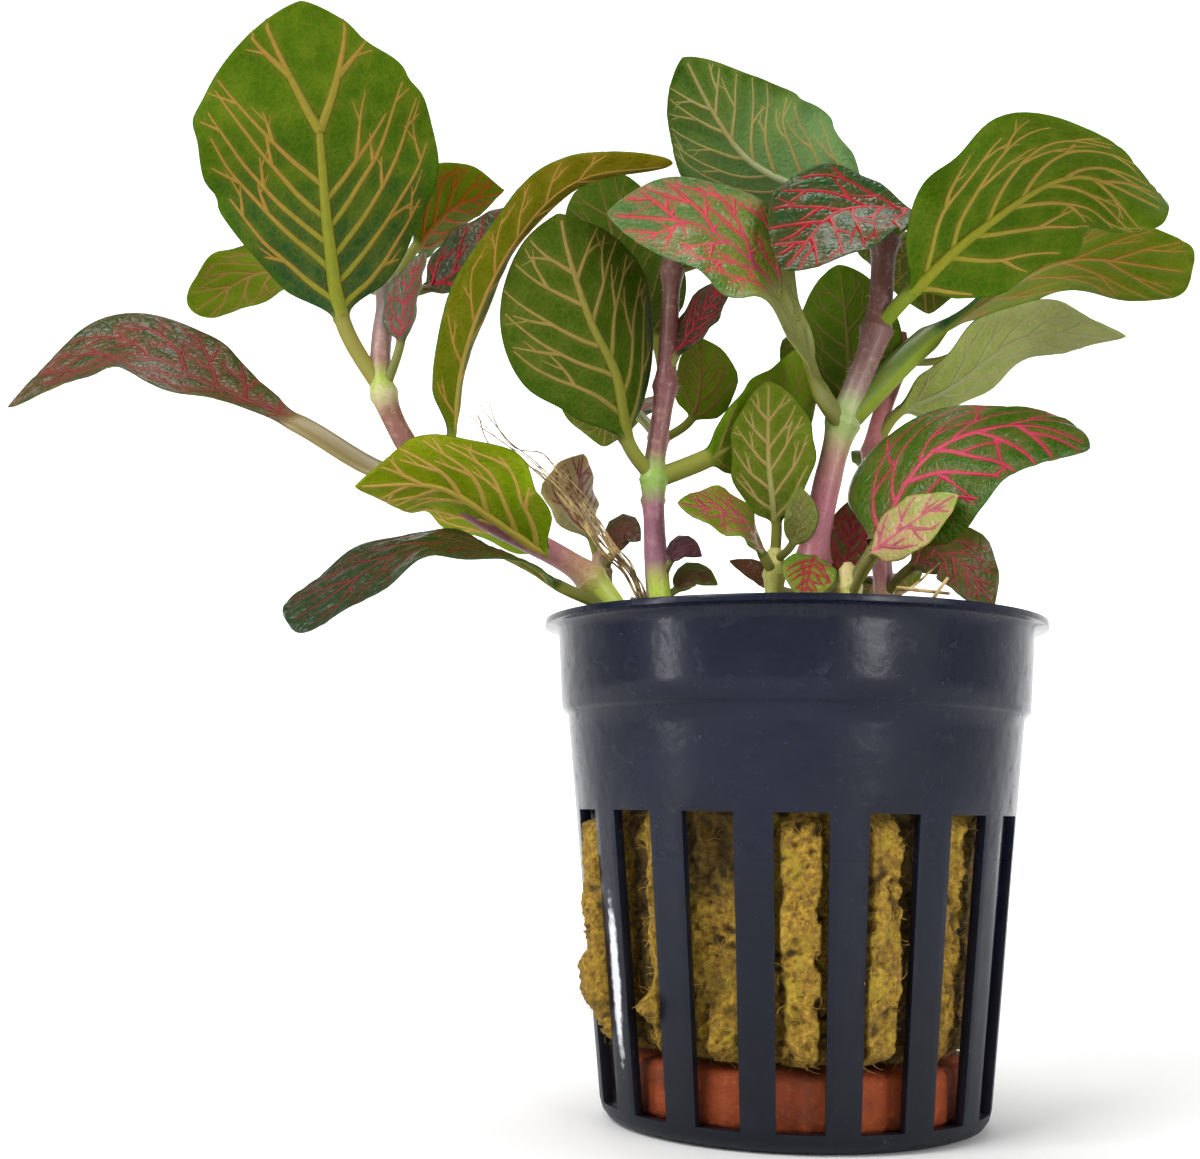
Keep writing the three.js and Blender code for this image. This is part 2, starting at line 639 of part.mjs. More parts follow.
function add(name, geometry, material) {
  const mesh = new THREE.Mesh(geometry, material);
  mesh.name = name;
  group.add(mesh);
}

function plain(color, roughness) {
  return new THREE.MeshStandardMaterial({ color, roughness, metalness: 0 });
}

add('net_pot', netPot(), plain(0x2c303a, 0.4));
add('clay_weight', clayWeight(), plain(0x9a4a28, 0.9));

const wideStems = {};
for (const [key, stem] of Object.entries(stems)) {
  add(`stem_${key}`, stemGeometry(stem, 0), plain(stem.colour, 0.55));
  wideStems[key] = toSolid(stemGeometry(stem, seatGap));
}
add('dry_roots', rootGeometry(0), plain(0xb59a62, 0.8));
const wideRoots = toSolid(rootGeometry(seatGap));
add('rockwool', rockwool([...Object.values(wideStems), wideRoots]), plain(0x8f7a2c, 0.95));

for (const [name, values] of Object.entries(leaves)) {
  const leaf = { ...leafDefaults, ...values };
  const solid = toSolid(leafGeometry(leaf)).subtract(wideStems[name[0]]);
  add(`leaf_${name}`, toGeometry(solid), leafMaterial(leaf));
}

export default group;
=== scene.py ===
# Looks of the potted nerve plant: net pot, mineral wool, fired clay, stems, dry strands and leaves.
# Sizes are millimetres until a mesh is made. The front is -Y, and the pot stands on z = 0.
import math
import random

import bmesh
import bpy
import numpy as np
from mathutils import Matrix, Vector, noise


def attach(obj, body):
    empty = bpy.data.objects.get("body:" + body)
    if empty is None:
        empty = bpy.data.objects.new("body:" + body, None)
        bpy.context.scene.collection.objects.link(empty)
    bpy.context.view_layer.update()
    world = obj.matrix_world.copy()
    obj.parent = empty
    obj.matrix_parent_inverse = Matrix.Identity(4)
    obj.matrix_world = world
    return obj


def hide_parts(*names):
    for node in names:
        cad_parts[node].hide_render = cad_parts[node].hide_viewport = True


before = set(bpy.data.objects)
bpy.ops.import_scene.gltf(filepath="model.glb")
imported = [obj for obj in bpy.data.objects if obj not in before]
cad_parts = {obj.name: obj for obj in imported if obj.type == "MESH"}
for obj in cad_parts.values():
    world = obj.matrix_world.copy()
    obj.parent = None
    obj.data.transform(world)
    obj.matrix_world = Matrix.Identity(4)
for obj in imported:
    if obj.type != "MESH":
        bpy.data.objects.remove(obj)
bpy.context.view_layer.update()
mm = 0.001


# Node wiring: a socket that can be used in formulas

class Wire:
    def __init__(self, tree, socket=None):
        self.tree = tree
        self.socket = socket

    def make(self, kind, settings=None, values=None, output=0):
        node = self.tree.nodes.new(kind)
        for name, value in (settings or {}).items():
            if name == "stops":
                placeStops(node.color_ramp, value)
            else:
                setattr(node, name, value)
        for key, value in (values or {}).items():
            if isinstance(value, Wire):
                self.tree.links.new(value.socket, node.inputs[key])
            else:
                node.inputs[key].default_value = value
        return Wire(self.tree, node.outputs[output]) if len(node.outputs) else None

    def maths(self, operation, *values):
        return self.make("ShaderNodeMath", {"operation": operation}, dict(enumerate(values)))

    def __add__(self, other):
        return self.maths("ADD", self, other)

    def __radd__(self, other):
        return self.maths("ADD", other, self)

    def __sub__(self, other):
        return self.maths("SUBTRACT", self, other)

    def __rsub__(self, other):
        return self.maths("SUBTRACT", other, self)

    def __mul__(self, other):
        return self.maths("MULTIPLY", self, other)

    def __rmul__(self, other):
        return self.maths("MULTIPLY", other, self)

    def __truediv__(self, other):
        return self.maths("DIVIDE", self, other)

    def __pow__(self, other):
        return self.maths("POWER", self, other)

    def vivid(self, saturation):
        values = {"Saturation": saturation, "Color": self}
        return self.make("ShaderNodeHueSaturation", None, values)

    def between(self, low, high):
        # 0 at low, 1 at high, smooth in the middle
        values = {0: self, 1: low, 2: high, 3: 0, 4: 1}
        return self.make("ShaderNodeMapRange", {"interpolation_type": "SMOOTHSTEP"}, values)

    def mix(self, first, second):
        # this socket is the share of the second colour
        settings = {"data_type": "RGBA"}
        return self.make("ShaderNodeMix", settings, {0: self, 6: first, 7: second}, 2)

    def scaled(self, size):
        settings = {"operation": "SCALE"}
        return self.make("ShaderNodeVectorMath", settings, {0: self, 3: size})

    def ramp(self, stops):
        return self.make("ShaderNodeValToRGB", {"stops": stops}, {0: self})

    def noise(self, size, detail=3, rough=0.55):
        values = {"Vector": self, "Scale": 1 / size, "Detail": detail, "Roughness": rough}
        return self.make("ShaderNodeTexNoise", None, values)

    def cells(self, size, feature="F1", output=0):
        values = {"Vector": self, "Scale": 1 / size}
        return self.make("ShaderNodeTexVoronoi", {"feature": feature}, values, output)

    def parts(self):
        split = self.make("ShaderNodeSeparateXYZ", None, {0: self})
        sockets = split.socket.node.outputs
        return [Wire(self.tree, sockets[k]) for k in range(3)]

    def named(self, name, output=2):
        return self.make("ShaderNodeAttribute", {"attribute_name": name}, None, output)


def placeStops(ramp, stops):
    while len(ramp.elements) < len(stops):
        ramp.elements.new(0.5)
    for element, (place, colour) in zip(ramp.elements, stops):
        element.position = place
        element.color = colour


def tint(red, green, blue):
    # screen colour 0 to 255, turned into the linear one that Blender takes
    shares = [value / 255 for value in (red, green, blue)]
    linear = [s / 12.92 if s <= 0.04045 else ((s + 0.055) / 1.055) ** 2.4 for s in shares]
    return (*linear, 1)


# Materials: sizes and depths are millimetres, and colours are screen ones until tint turns them

def newMaterial(name):
    material = bpy.data.materials.new(name)
    material.use_nodes = True
    tree = material.node_tree
    tree.nodes.clear()
    wire = Wire(tree)
    place = wire.make("ShaderNodeTexCoord", None, None, 3).scaled(1 / mm)
    return material, wire, place


def finishMaterial(wire, values, bumps=()):
    # bumps are (height, depth) pairs, laid on top of each other
    normal = None
    for height, depth in bumps:
        sockets = {"Height": height, "Distance": depth * mm, "Strength": 1}
        if normal:
            sockets["Normal"] = normal
        normal = wire.make("ShaderNodeBump", None, sockets)
    values = dict(values)
    if normal:
        values["Normal"] = normal
    shader = wire.make("ShaderNodeBsdfPrincipled", None, values)
    wire.make("ShaderNodeOutputMaterial", None, {"Surface": shader})


plastic = {
    # foot is painted shade over the lower part of the pot, below footTop
    "dark": (9, 13, 26), "light": (15, 22, 42), "foot": (5, 8, 15), "footTop": 32, "footShadeShare": 0.7,
    "scuff": (64, 70, 92), "scuffShare": 0.07, "dust": (190, 190, 186), "dustShare": 0.7,
    # the mark values paint a glare streak, a painted highlight, on the lower left rib
    "glare": (214, 216, 222), "glarePlace": (-16.2, -11.7, 11), "glareLean": 0.2, "glareFlat": 0.6,
    "rough": 0.24, "shine": 0.24,
}


def potPlastic():
    material, wire, place = newMaterial("potPlastic")
    x, y, z = place.parts()
    # the lower part is painted darker as shade, and made rougher as it is duller
    foot = z.between(plastic["footTop"], 2)
    base = place.noise(9, 2).mix(tint(*plastic["dark"]), tint(*plastic["light"]))
    base = (foot * plastic["footShadeShare"]).mix(base, tint(*plastic["foot"]))
    dust = place.noise(0.5, 4, 0.7).between(0.68, 0.76) * place.noise(6, 2).between(0.45, 0.7)
    scuff = place.noise(2.2, 5, 0.7).between(0.55, 0.75)
    colour = (scuff * plastic["scuffShare"]).mix(base, tint(*plastic["scuff"]))
    colour = (dust * plastic["dustShare"]).mix(colour, tint(*plastic["dust"]))
    # painted glare: a pale streak on the rib at the lower left, where the rib's edge catches the light
    glareX, glareY, glareZ = plastic["glarePlace"]
    away = ((x - glareX) ** 2 + (y - glareY) ** 2) ** 0.5
    away = away + (z + x * plastic["glareLean"] - glareZ).maths("ABSOLUTE") * plastic["glareFlat"]
    glare = (away + place.noise(0.8, 3) * 0.8).between(1.6, 1.1)
    colour = glare.mix(colour, tint(*plastic["glare"]))
    values = {
        "Base Color": colour,
        "Roughness": plastic["rough"] + scuff * 0.2 + dust * 0.3 + foot * 0.25,
        "Specular IOR Level": plastic["shine"],
    }
    finishMaterial(wire, values, [(place.noise(3, 2), 0.1), (place.noise(0.35, 3), 0.012)])
    return material


def firedClay():
    material, wire, place = newMaterial("firedClay")
    grain = place.noise(0.5, 5, 0.65)
    base = place.noise(3, 3).mix(tint(98, 32, 6), tint(170, 74, 16))
    # the grain's high spots are painted lighter, as small painted highlights
    colour = (grain.between(0.52, 0.74) * 0.4).mix(base, tint(194, 104, 40))
    # darker patches at random, painted shade
    darkPatch = place.noise(7, 3).between(0.52, 0.68)
    colour = (darkPatch * 0.55).mix(colour, tint(66, 30, 18))
    bumps = [(grain, 0.12), (place.noise(1.5, 2), 0.2)]
    finishMaterial(wire, {"Base Color": colour, "Roughness": 0.8}, bumps)
    return material


def mineralWool():
    material, wire, place = newMaterial("mineralWool")
    grain = place.noise(0.55, 6, 0.65)
    base = grain.ramp([
        (0.28, tint(66, 44, 14)), (0.42, tint(126, 94, 24)), (0.55, tint(160, 126, 32)),
        (0.7, tint(194, 158, 54)),
    ])
    darkPatch = place.noise(4.5, 3).between(0.52, 0.7)
    colour = (darkPatch * 0.4).mix(base, tint(92, 66, 26))
    lime = place.noise(3, 2).between(0.55, 0.7)
    colour = (lime * 0.3).mix(colour, tint(170, 156, 30))
    # painted shade in the pores, in the dents and where the wool sits back
    pore = wire.named("pore").between(0.2, 0.9)
    colour = (pore * 0.8).mix(colour, tint(44, 30, 14))
    bumps = [(grain, 0.4), (place.noise(0.2, 3), 0.1)]
    finishMaterial(wire, {"Base Color": colour, "Roughness": 0.92}, bumps)
    return material


def strandSkin(name, dark, pale):
    material, wire, place = newMaterial(name)
    colour = place.noise(1.6, 4, 0.6).between(0.35, 0.65).mix(dark, pale)
    finishMaterial(wire, {"Base Color": colour, "Roughness": 0.75}, [(place.noise(0.3, 3), 0.05)])
    return material


def stemSkin():
    material, wire, place = newMaterial("stemSkin")
    mottle = place.noise(0.9, 4, 0.6)
    specks = place.noise(0.35, 3).between(0.55, 0.7)
    colour = (mottle.between(0.5, 0.75) * 0.2).mix(wire.named("skin", 0), tint(206, 170, 150))
    colour = (specks * 0.3).mix(colour, tint(90, 40, 52)).scaled(1.35)
    values = {
        "Base Color": colour, "Roughness": 0.42 + mottle * 0.15, "Coat Weight": 0.1,
        "Subsurface Weight": 0.06, "Subsurface Scale": 0.5 * mm,
    }
    finishMaterial(wire, values, [(mottle, 0.12), (place.cells(0.22), 0.02)])
    return material


# how the two faces of a leaf differ: bump is -1 underneath, where the same cells are hollows
leafFinish = {
    "upper": {"rough": 0.24, "shine": 0.24, "vivid": 1.1, "bump": 1, "stalk": (92, 116, 44),
              "veinRough": 0.4, "veinShine": 0.15, "veinLight": 0.5},
    "under": {"rough": 0.56, "shine": 0.06, "vivid": 1.13, "bump": -1, "stalk": (118, 136, 38),
              "veinRough": 0.6, "veinShine": 0.05, "veinLight": 0.7},
}
leafScatter = {"Subsurface Weight": 0.04, "Subsurface Scale": 0.4 * mm}


def stalkColour(wire, place, face):
    colour = wire.named("ruddy").mix(tint(*leafFinish[face]["stalk"]), tint(150, 78, 86))
    return (place.noise(2.6, 3) * 0.5 - 0.15).mix(colour, tint(150, 150, 84))


def leafFace(face):
    finish = leafFinish[face]
    material, wire, place = newMaterial("leaf" + face.title())
    gap, net, bare = wire.named("veinGap"), wire.named("netGap"), wire.named("bare")
    flat = wire.named("flat", 1)
    cloud = place.noise(2.6, 3)
    fine = place.noise(0.5, 3)
    margin = wire.named("edge").between(1.6, 0.1)
    areole = flat.cells(0.7, "DISTANCE_TO_EDGE")
    # near the margin the green leans to the tip's colour, a painted glow of light through the thin edge
    reach = flat.parts()[2].between(0, 1) + (cloud - 0.5) * 0.5 + margin * 0.2
    green = reach.mix(wire.named("lowColour", 1), wire.named("highColour", 1))
    green = green.scaled(0.5 + cloud * 0.45 + fine * 0.24).vivid(finish["vivid"])
    # a haze of the veins' colour round the veins and in clouds
    haze, glow = wire.named("haze"), wire.named("glowColour", 1)
    nearVein = (gap + (fine - 0.5) * 0.6).between(0.6, 0)
    nearNet = (net + (fine - 0.5) * 0.5).between(0.45, 0)
    near = nearVein * 0.8 + nearNet * 0.5
    green = (areole.between(0.14, 0.02) * (0.03 + haze * 0.35)).mix(green, glow)
    colour = (near * haze + haze * cloud.between(0.45, 0.65) * 0.5).mix(green, glow)
    colour = bare.mix(colour, stalkColour(wire, place, face))
    values = {
        "Base Color": colour, "Roughness": finish["rough"] + fine * 0.16,
        "Specular IOR Level": finish["shine"], **leafScatter,
    }
    cushions = areole.between(0, 0.3) * (1 - bare)
    bumps = [(cushions, 0.05 * finish["bump"]), (net.between(0, 0.6), 0.07 * finish["bump"]),
             (place.noise(0.12, 2), 0.006)]
    finishMaterial(wire, values, bumps)
    return material


def veinSkin(face):
    finish = leafFinish[face]
    material, wire, place = newMaterial("vein" + face.title())
    thin = wire.named("thick").between(0.42 * mm, 0.2 * mm)
    fine = place.noise(0.6, 3)
    far = thin + wire.named("flat", 1).parts()[2].between(0.2, 0.9) * 0.6
    colour = far.mix(wire.named("lowColour", 1), wire.named("highColour", 1))
    colour = colour.scaled(finish["veinLight"] + fine * 0.3)
    colour = wire.named("bare").mix(colour, stalkColour(wire, place, face))
    values = {
        "Base Color": colour, "Roughness": finish["veinRough"],
        "Specular IOR Level": finish["veinShine"], **leafScatter,
    }
    finishMaterial(wire, values, [(fine, 0.05)])
    return material


# Meshes and pieces

def giveValues(mesh, name, values):
    values = np.asarray(values, dtype=np.float32)
    kind, field = ("FLOAT", "value") if values.ndim == 1 else ("FLOAT_VECTOR", "vector")
    layer = mesh.attributes.new(name, kind, "POINT")
    layer.data.foreach_set(field, values.ravel())


def makeObject(name, points, edges, faces, materials=()):
    mesh = bpy.data.meshes.new(name)
    mesh.from_pydata((np.asarray(points) * mm).tolist(), edges, faces)
    for material in materials:
        mesh.materials.append(material)
    piece = bpy.data.objects.new(name, mesh)
    bpy.context.scene.collection.objects.link(piece)
    return piece


def settle(piece):
    # keeps the evaluated mesh and drops the modifiers
    graph = bpy.context.evaluated_depsgraph_get()
    mesh = bpy.data.meshes.new_from_object(piece.evaluated_get(graph), depsgraph=graph)
    piece.modifiers.clear()
    piece.data = mesh
    return piece


def smooth(piece):
    piece.data.polygons.foreach_set("use_smooth", [True] * len(piece.data.polygons))


def handOver(piece, slotName, *nodes):
    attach(piece, "root")
    if nodes:
        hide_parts(*nodes)
    print(piece.name, len(piece.data.polygons), "faces")


def grow(piece, tree, settings):
    # runs a Geometry Nodes tree with named inputs, then keeps its mesh
    modifier = piece.modifiers.new("grow", "NODES")
    modifier.node_group = tree
    for item in tree.interface.items_tree:
        if item.in_out == "INPUT" and item.name in settings:
            modifier[item.identifier] = settings[item.name]
    return settle(piece)


def newTree(name, inputs):
    tree = bpy.data.node_groups.new(name, "GeometryNodeTree")
    tree.interface.new_socket("Geometry", in_out="INPUT", socket_type="NodeSocketGeometry")
    for label, kind in inputs.items():
        tree.interface.new_socket(label, in_out="INPUT", socket_type="NodeSocket" + kind)
    tree.interface.new_socket("Geometry", in_out="OUTPUT", socket_type="NodeSocketGeometry")
    start = tree.nodes.new("NodeGroupInput")
    return tree, Wire(tree), {socket.name: Wire(tree, socket) for socket in start.outputs}


def endTree(tree, *parts):
    # joins the parts and hands them out
    joined = tree.nodes.new("GeometryNodeJoinGeometry")
    for part in parts:
        tree.links.new(part.socket, joined.inputs[0])
    end = tree.nodes.new("NodeGroupOutput")
    tree.links.new(joined.outputs[0], end.inputs[0])
    return tree


def field(wire, name, kind="FLOAT"):
    return wire.make("GeometryNodeInputNamedAttribute", {"data_type": kind}, {"Name": name})


def tubeAlong(wire, curve, ring):
    # as thick as the curve's thick attribute
    values = {"Curve": curve, "Profile Curve": ring, "Scale": field(wire, "thick"), "Fill Caps": True}
    return wire.make("GeometryNodeCurveToMesh", None, values)


def coated(wire, mesh, skin):
    return wire.make("GeometryNodeSetMaterial", None, {"Geometry": mesh, "Material": skin})


def smoothed(wire, mesh):
    return wire.make("GeometryNodeSetShadeSmooth", None, {"Geometry": mesh, "Shade Smooth": True})


def scattered(wire, given, mesh, label, shape, tilt, sizes):
    # copies of a small shape on a mesh, each leaning by up to tilt and turned its own way
    seed = given["Seed"]
    values = {"Mesh": mesh, "Density": given[label + " density"], "Seed": seed}
    spots = wire.make("GeometryNodeDistributePointsOnFaces", None, values)
    turn = Wire(wire.tree, spots.socket.node.outputs["Rotation"])
    values = {0: (-tilt, -tilt, 0), 1: (tilt, tilt, 6), "Seed": seed}
    lean = wire.make("FunctionNodeRandomValue", {"data_type": "FLOAT_VECTOR"}, values)
    lean = wire.make("FunctionNodeEulerToRotation", None, {0: lean})
    turn = wire.make("FunctionNodeRotateRotation", {"rotation_space": "LOCAL"}, {0: turn, 1: lean})
    values = {2: sizes[0], 3: sizes[1], "Seed": seed}
    size = wire.make("FunctionNodeRandomValue", {"data_type": "FLOAT"}, values, 1)
    size = size * given[label + " length"]
    values = {"Points": spots, "Instance": shape, "Rotation": turn, "Scale": size}
    copies = wire.make("GeometryNodeInstanceOnPoints", None, values)
    copies = wire.make("GeometryNodeRealizeInstances", None, {0: copies})
    return coated(wire, copies, given[label + " skin"])


def tubeTree():
    # tubes along the edges of a mesh, with downy hairs on them
    tree, wire, given = newTree("tubes", {
        "Sides": "Int", "Hair density": "Float", "Hair length": "Float", "Seed": "Int",
        "Skin": "Material", "Hair skin": "Material",
    })
    curve = wire.make("GeometryNodeMeshToCurve", None, {0: given["Geometry"]})
    ring = wire.make("GeometryNodeCurvePrimitiveCircle", None, {"Resolution": given["Sides"], "Radius": 1})
    tubes = tubeAlong(wire, curve, ring)
    hair = wire.make("GeometryNodeMeshCone", None, {
        "Vertices": 3, "Side Segments": 1, "Radius Top": 0.0, "Radius Bottom": 0.05, "Depth": 1.0,
    })
    hairs = scattered(wire, given, tubes, "Hair", hair, 0.5, (0.5, 1.3))
    return endTree(tree, hairs, smoothed(wire, coated(wire, tubes, given["Skin"])))


def fibreTree():
    # short bent fibres standing and lying on the faces of a mesh
    tree, wire, given = newTree("fibres", {
        "Fibre density": "Float", "Fibre length": "Float", "Thickness": "Float", "Seed": "Int",
        "Fibre skin": "Material",
    })
    bend = wire.make("GeometryNodeCurveQuadraticBezier", None, {
        "Resolution": 5, "Start": (0, 0, -0.1), "Middle": (0.35, 0.1, 0.5), "End": (0, 0.3, 1),
    })
    values = {"Resolution": 3, "Radius": given["Thickness"]}
    ring = wire.make("GeometryNodeCurvePrimitiveCircle", None, values)
    fibre = wire.make("GeometryNodeCurveToMesh", None, {"Curve": bend, "Profile Curve": ring})
    fibres = scattered(wire, given, given["Geometry"], "Fibre", fibre, 1.5, (0.3, 1.2))
    return endTree(tree, smoothed(wire, fibres))


def veinTubes():
    # joins a leaf blade with tubes along its vein lines, laid flat by their over attribute
    tree, wire, given = newTree("leafVeins", {
        "Lines": "Object", "Sides": "Int", "Upper height": "Float", "Under height": "Float",
        "Upper skin": "Material", "Under skin": "Material",
    })
    lines = wire.make("GeometryNodeObjectInfo", None, {"Object": given["Lines"]}, 4)
    curve = wire.make("GeometryNodeMeshToCurve", None, {0: lines})
    values = {"Curve": curve, "Normal": field(wire, "over", "FLOAT_VECTOR")}
    curve = wire.make("GeometryNodeSetCurveNormal", {"mode": "FREE"}, values)
    values = {"Geometry": curve, "Selection": field(wire, "above")}
    upper = wire.make("GeometryNodeSeparateGeometry", None, values)
    under = Wire(tree, upper.socket.node.outputs[1])
    values = {"Resolution": given["Sides"], "Radius": 1}
    circle = wire.make("GeometryNodeCurvePrimitiveCircle", None, values)
    parts = []
    for lines, label in ((upper, "Upper"), (under, "Under")):
        size = wire.make("ShaderNodeCombineXYZ", None, {0: given[label + " height"], 1: 1, 2: 1})
        ring = wire.make("GeometryNodeTransform", None, {"Geometry": circle, "Scale": size})
        tubes = coated(wire, tubeAlong(wire, lines, ring), given[label + " skin"])
        parts.append(smoothed(wire, tubes))
    return endTree(tree, *parts, given["Geometry"])


# Curves shared by stems and leaves

stepParts = 40


def splinePoints(path):
    # centripetal spline through the points, the same one that the CAD uses
    knots = [np.array(point, float) for point in path]
    knots = [2 * knots[0] - knots[1], *knots, 2 * knots[-1] - knots[-2]]
    rows = []
    for i in range(1, len(knots) - 2):
        a, b, c, d = knots[i - 1:i + 3]
        tb = np.linalg.norm(b - a) ** 0.5
        tc = tb + np.linalg.norm(c - b) ** 0.5
        td = tc + np.linalg.norm(d - c) ** 0.5
        last = i == len(knots) - 3
        for k in range(stepParts + last):
            t = tb + (tc - tb) * k / stepParts
            ab = ((tb - t) * a + t * b) / tb
            bc = ((tc - t) * b + (t - tb) * c) / (tc - tb)
            cd = ((td - t) * c + (t - tc) * d) / (td - tc)
            abc = ((tc - t) * ab + t * bc) / tc
            bcd = ((td - t) * bc + (t - tb) * cd) / (td - tb)
            rows.append(((tc - t) * abc + (t - tb) * bcd) / (tc - tb))
    return np.array(rows)


def evenPoints(dense, shares):
    # points at the given shares of the length, and the length
    steps = np.linalg.norm(np.diff(dense, axis=0), axis=1)
    lengths = np.concatenate([[0], np.cumsum(steps)])
    wanted = np.asarray(shares) * lengths[-1]
    points = np.stack([np.interp(wanted, lengths, dense[:, k]) for k in range(3)], axis=1)
    return points, lengths[-1]


def smoothStep(x):
    t = np.clip(x, 0, 1)
    return t * t * (3 - 2 * t)


def around(radius, angle, height):
    return radius * math.cos(angle), radius * math.sin(angle), height


def ringFaces(starts, count, ends=()):
    # bands between rings of points, then a flat face over each end ring
    faces = []
    for first, second in zip(starts, starts[1:]):
        for k in range(count):
            n = (k + 1) % count
            faces.append((first + k, first + n, second + n, second + k))
    return faces + [[start + k for k in range(count)] for start in ends]


# Net pot

pot = {
    "slots": 16, "slotTurn": -88, "slotTop": 29.3, "slotBottom": 1.9,
    "slotTopWidth": 4.9, "slotBottomWidth": 4.2, "slotCells": 4, "ribCells": 2,
    "wallTop": (22.5, 38.6), "wallBottom": (18.75, 1.9), "wall": 1.0, "slotRows": 16,
    "bandHeights": (31, 33, 35, 37, 38.6),
    # the floor's rings and its slots, which stand 2 degrees away from the wall's
    "floor": 1, "floorRings": (0.6, 4, 7, 9.3, 11.7, 14, 15.6),
    "floorSlotInner": 7, "floorSlotOuter": 14, "floorSlotWidth": 2.6, "floorSlotMost": 10.9,
    "floorRibHalf": 6, "floorTurn": 2, "turnOver": 2.9,
    # rows of the foot and the rim: outer radius and height, inner radius and height
    "foot": [(16.9, 0, 16.5, 1), (18, 0.4, 17.1, 1.05), (18.5, 1.05, 17.5, 1.3)],
    "rim": [(22.75, 38.85, 21.6, 38.85), (23.1, 39.2, 22.0, 39.3), (23.25, 41, 22.25, 41),
            (23.4, 43.5, 22.4, 43.5), (23.55, 46, 22.55, 46), (23.6, 46.6, 22.6, 46.6),
            (23.75, 47.05, 22.65, 47.3), (24.1, 47.3, 22.85, 47.75), (24.5, 47.35, 23.2, 48),
            (25, 47.4, 24.95, 48)],
    "edge": 0.14, "edgeSteps": 2, "edgeAngle": 50,
}


def wallRadius(height):
    (topRadius, top), (bottomRadius, bottom) = pot["wallTop"], pot["wallBottom"]
    return bottomRadius + (topRadius - bottomRadius) * (height - bottom) / (top - bottom)


def potRows():
    # each row is outer radius and height, inner radius and height
    rows = [(radius, 0, radius, pot["floor"]) for radius in pot["floorRings"]] + pot["foot"]
    heights = np.linspace(pot["slotBottom"], pot["slotTop"], pot["slotRows"])
    for height in (*heights, *pot["bandHeights"]):
        rows.append((wallRadius(height), height, wallRadius(height) - pot["wall"], height))
    return rows + pot["rim"]


def slotHalfAngle(radius, height, sector):
    if height < pot["slotBottom"]:
        if sector % 2:
            return math.radians(pot["floorRibHalf"])
        # the clamps keep the rings near the middle of the floor in order
        half = math.asin(min(0.98, pot["floorSlotWidth"] / 2 / max(radius, 1.4)))
        return min(half, math.radians(pot["floorSlotMost"]))
    share = min(1, (height - pot["slotBottom"]) / (pot["slotTop"] - pot["slotBottom"]))
    width = pot["slotBottomWidth"] + (pot["slotTopWidth"] - pot["slotBottomWidth"]) * share
    return math.asin(width / 2 / radius)


def buildPot():
    rows = potRows()
    sector = 2 * math.pi / pot["slots"]
    cells = pot["slotCells"] + 2 * pot["ribCells"]
    count = cells * pot["slots"]
    points = []
    for outerRadius, outerHeight, innerRadius, innerHeight in rows:
        turned = smoothStep((outerRadius - pot["floorSlotOuter"]) / pot["turnOver"])
        turn = pot["floorTurn"] * float(turned)
        inSlots = pot["slotBottom"] <= outerHeight <= pot["slotTop"]
        for radius, height in ((outerRadius, outerHeight), (innerRadius, innerHeight)):
            for k in range(count):
                part, cell = divmod(k, cells)
                half = slotHalfAngle(radius if inSlots else outerRadius, outerHeight, part)
                if cell <= pot["slotCells"]:
                    angle = half * (2 * cell / pot["slotCells"] - 1)
                else:
                    share = (cell - pot["slotCells"]) / (2 * pot["ribCells"])
                    angle = half + (sector - 2 * half) * share
                points.append(around(radius, angle + (part * sector + math.radians(turn)), height))

    def isOpen(row, k):
        part, cell = divmod(k % count, cells)
        if cell >= pot["slotCells"]:
            return False
        middle = (rows[row][0] + rows[row + 1][0]) / 2
        height = (rows[row][1] + rows[row + 1][1]) / 2
        if pot["slotBottom"] < height < pot["slotTop"]:
            return True
        inFloor = pot["floorSlotInner"] < middle < pot["floorSlotOuter"]
        return height == 0 and inFloor and part % 2 == 0

    def at(row, layer, k):
        # layer is 0 for the outer face and 1 for the inner one
        return (row * 2 + layer) * count + k % count

    faces = []

    def addFace(*corners):
        faces.append([at(*corner) for corner in corners])

    last = len(rows) - 1
    for row in range(last):
        up = row + 1
        for k in range(count):
            if isOpen(row, k):
                continue
            addFace((row, 0, k), (up, 0, k), (up, 0, k + 1), (row, 0, k + 1))
            addFace((row, 1, k), (row, 1, k + 1), (up, 1, k + 1), (up, 1, k))
            for side, near in ((k, k - 1), (k + 1, k + 1)):
                if isOpen(row, near):
                    addFace((row, 0, side), (up, 0, side), (up, 1, side), (row, 1, side))
            for edge, near in ((row, row - 1), (up, up)):
                if 0 <= near < last and isOpen(near, k):
                    addFace((edge, 0, k), (edge, 0, k + 1), (edge, 1, k + 1), (edge, 1, k))
    for k in range(count):
        addFace((last, 0, k), (last, 0, k + 1), (last, 1, k + 1), (last, 1, k))
    for layer in (0, 1):
        addFace(*[(0, layer, k) for k in range(count)])
    piece = makeObject("slotted_pot", points, [], faces, [potPlastic()])
    facingOut(piece)
    bevel = piece.modifiers.new("edges", "BEVEL")
    bevel.width = pot["edge"] * mm
    bevel.segments = pot["edgeSteps"]
    bevel.limit_method = "ANGLE"
    bevel.angle_limit = math.radians(pot["edgeAngle"])
    settle(piece)
    smooth(piece)
    handOver(piece, "pot_plastic", "net_pot")


def facingOut(piece):
    shape = bmesh.new()
    shape.from_mesh(piece.data)
    bmesh.ops.recalc_face_normals(shape, faces=shape.faces)
    shape.to_mesh(piece.data)
    shape.free()


# Block of mineral wool

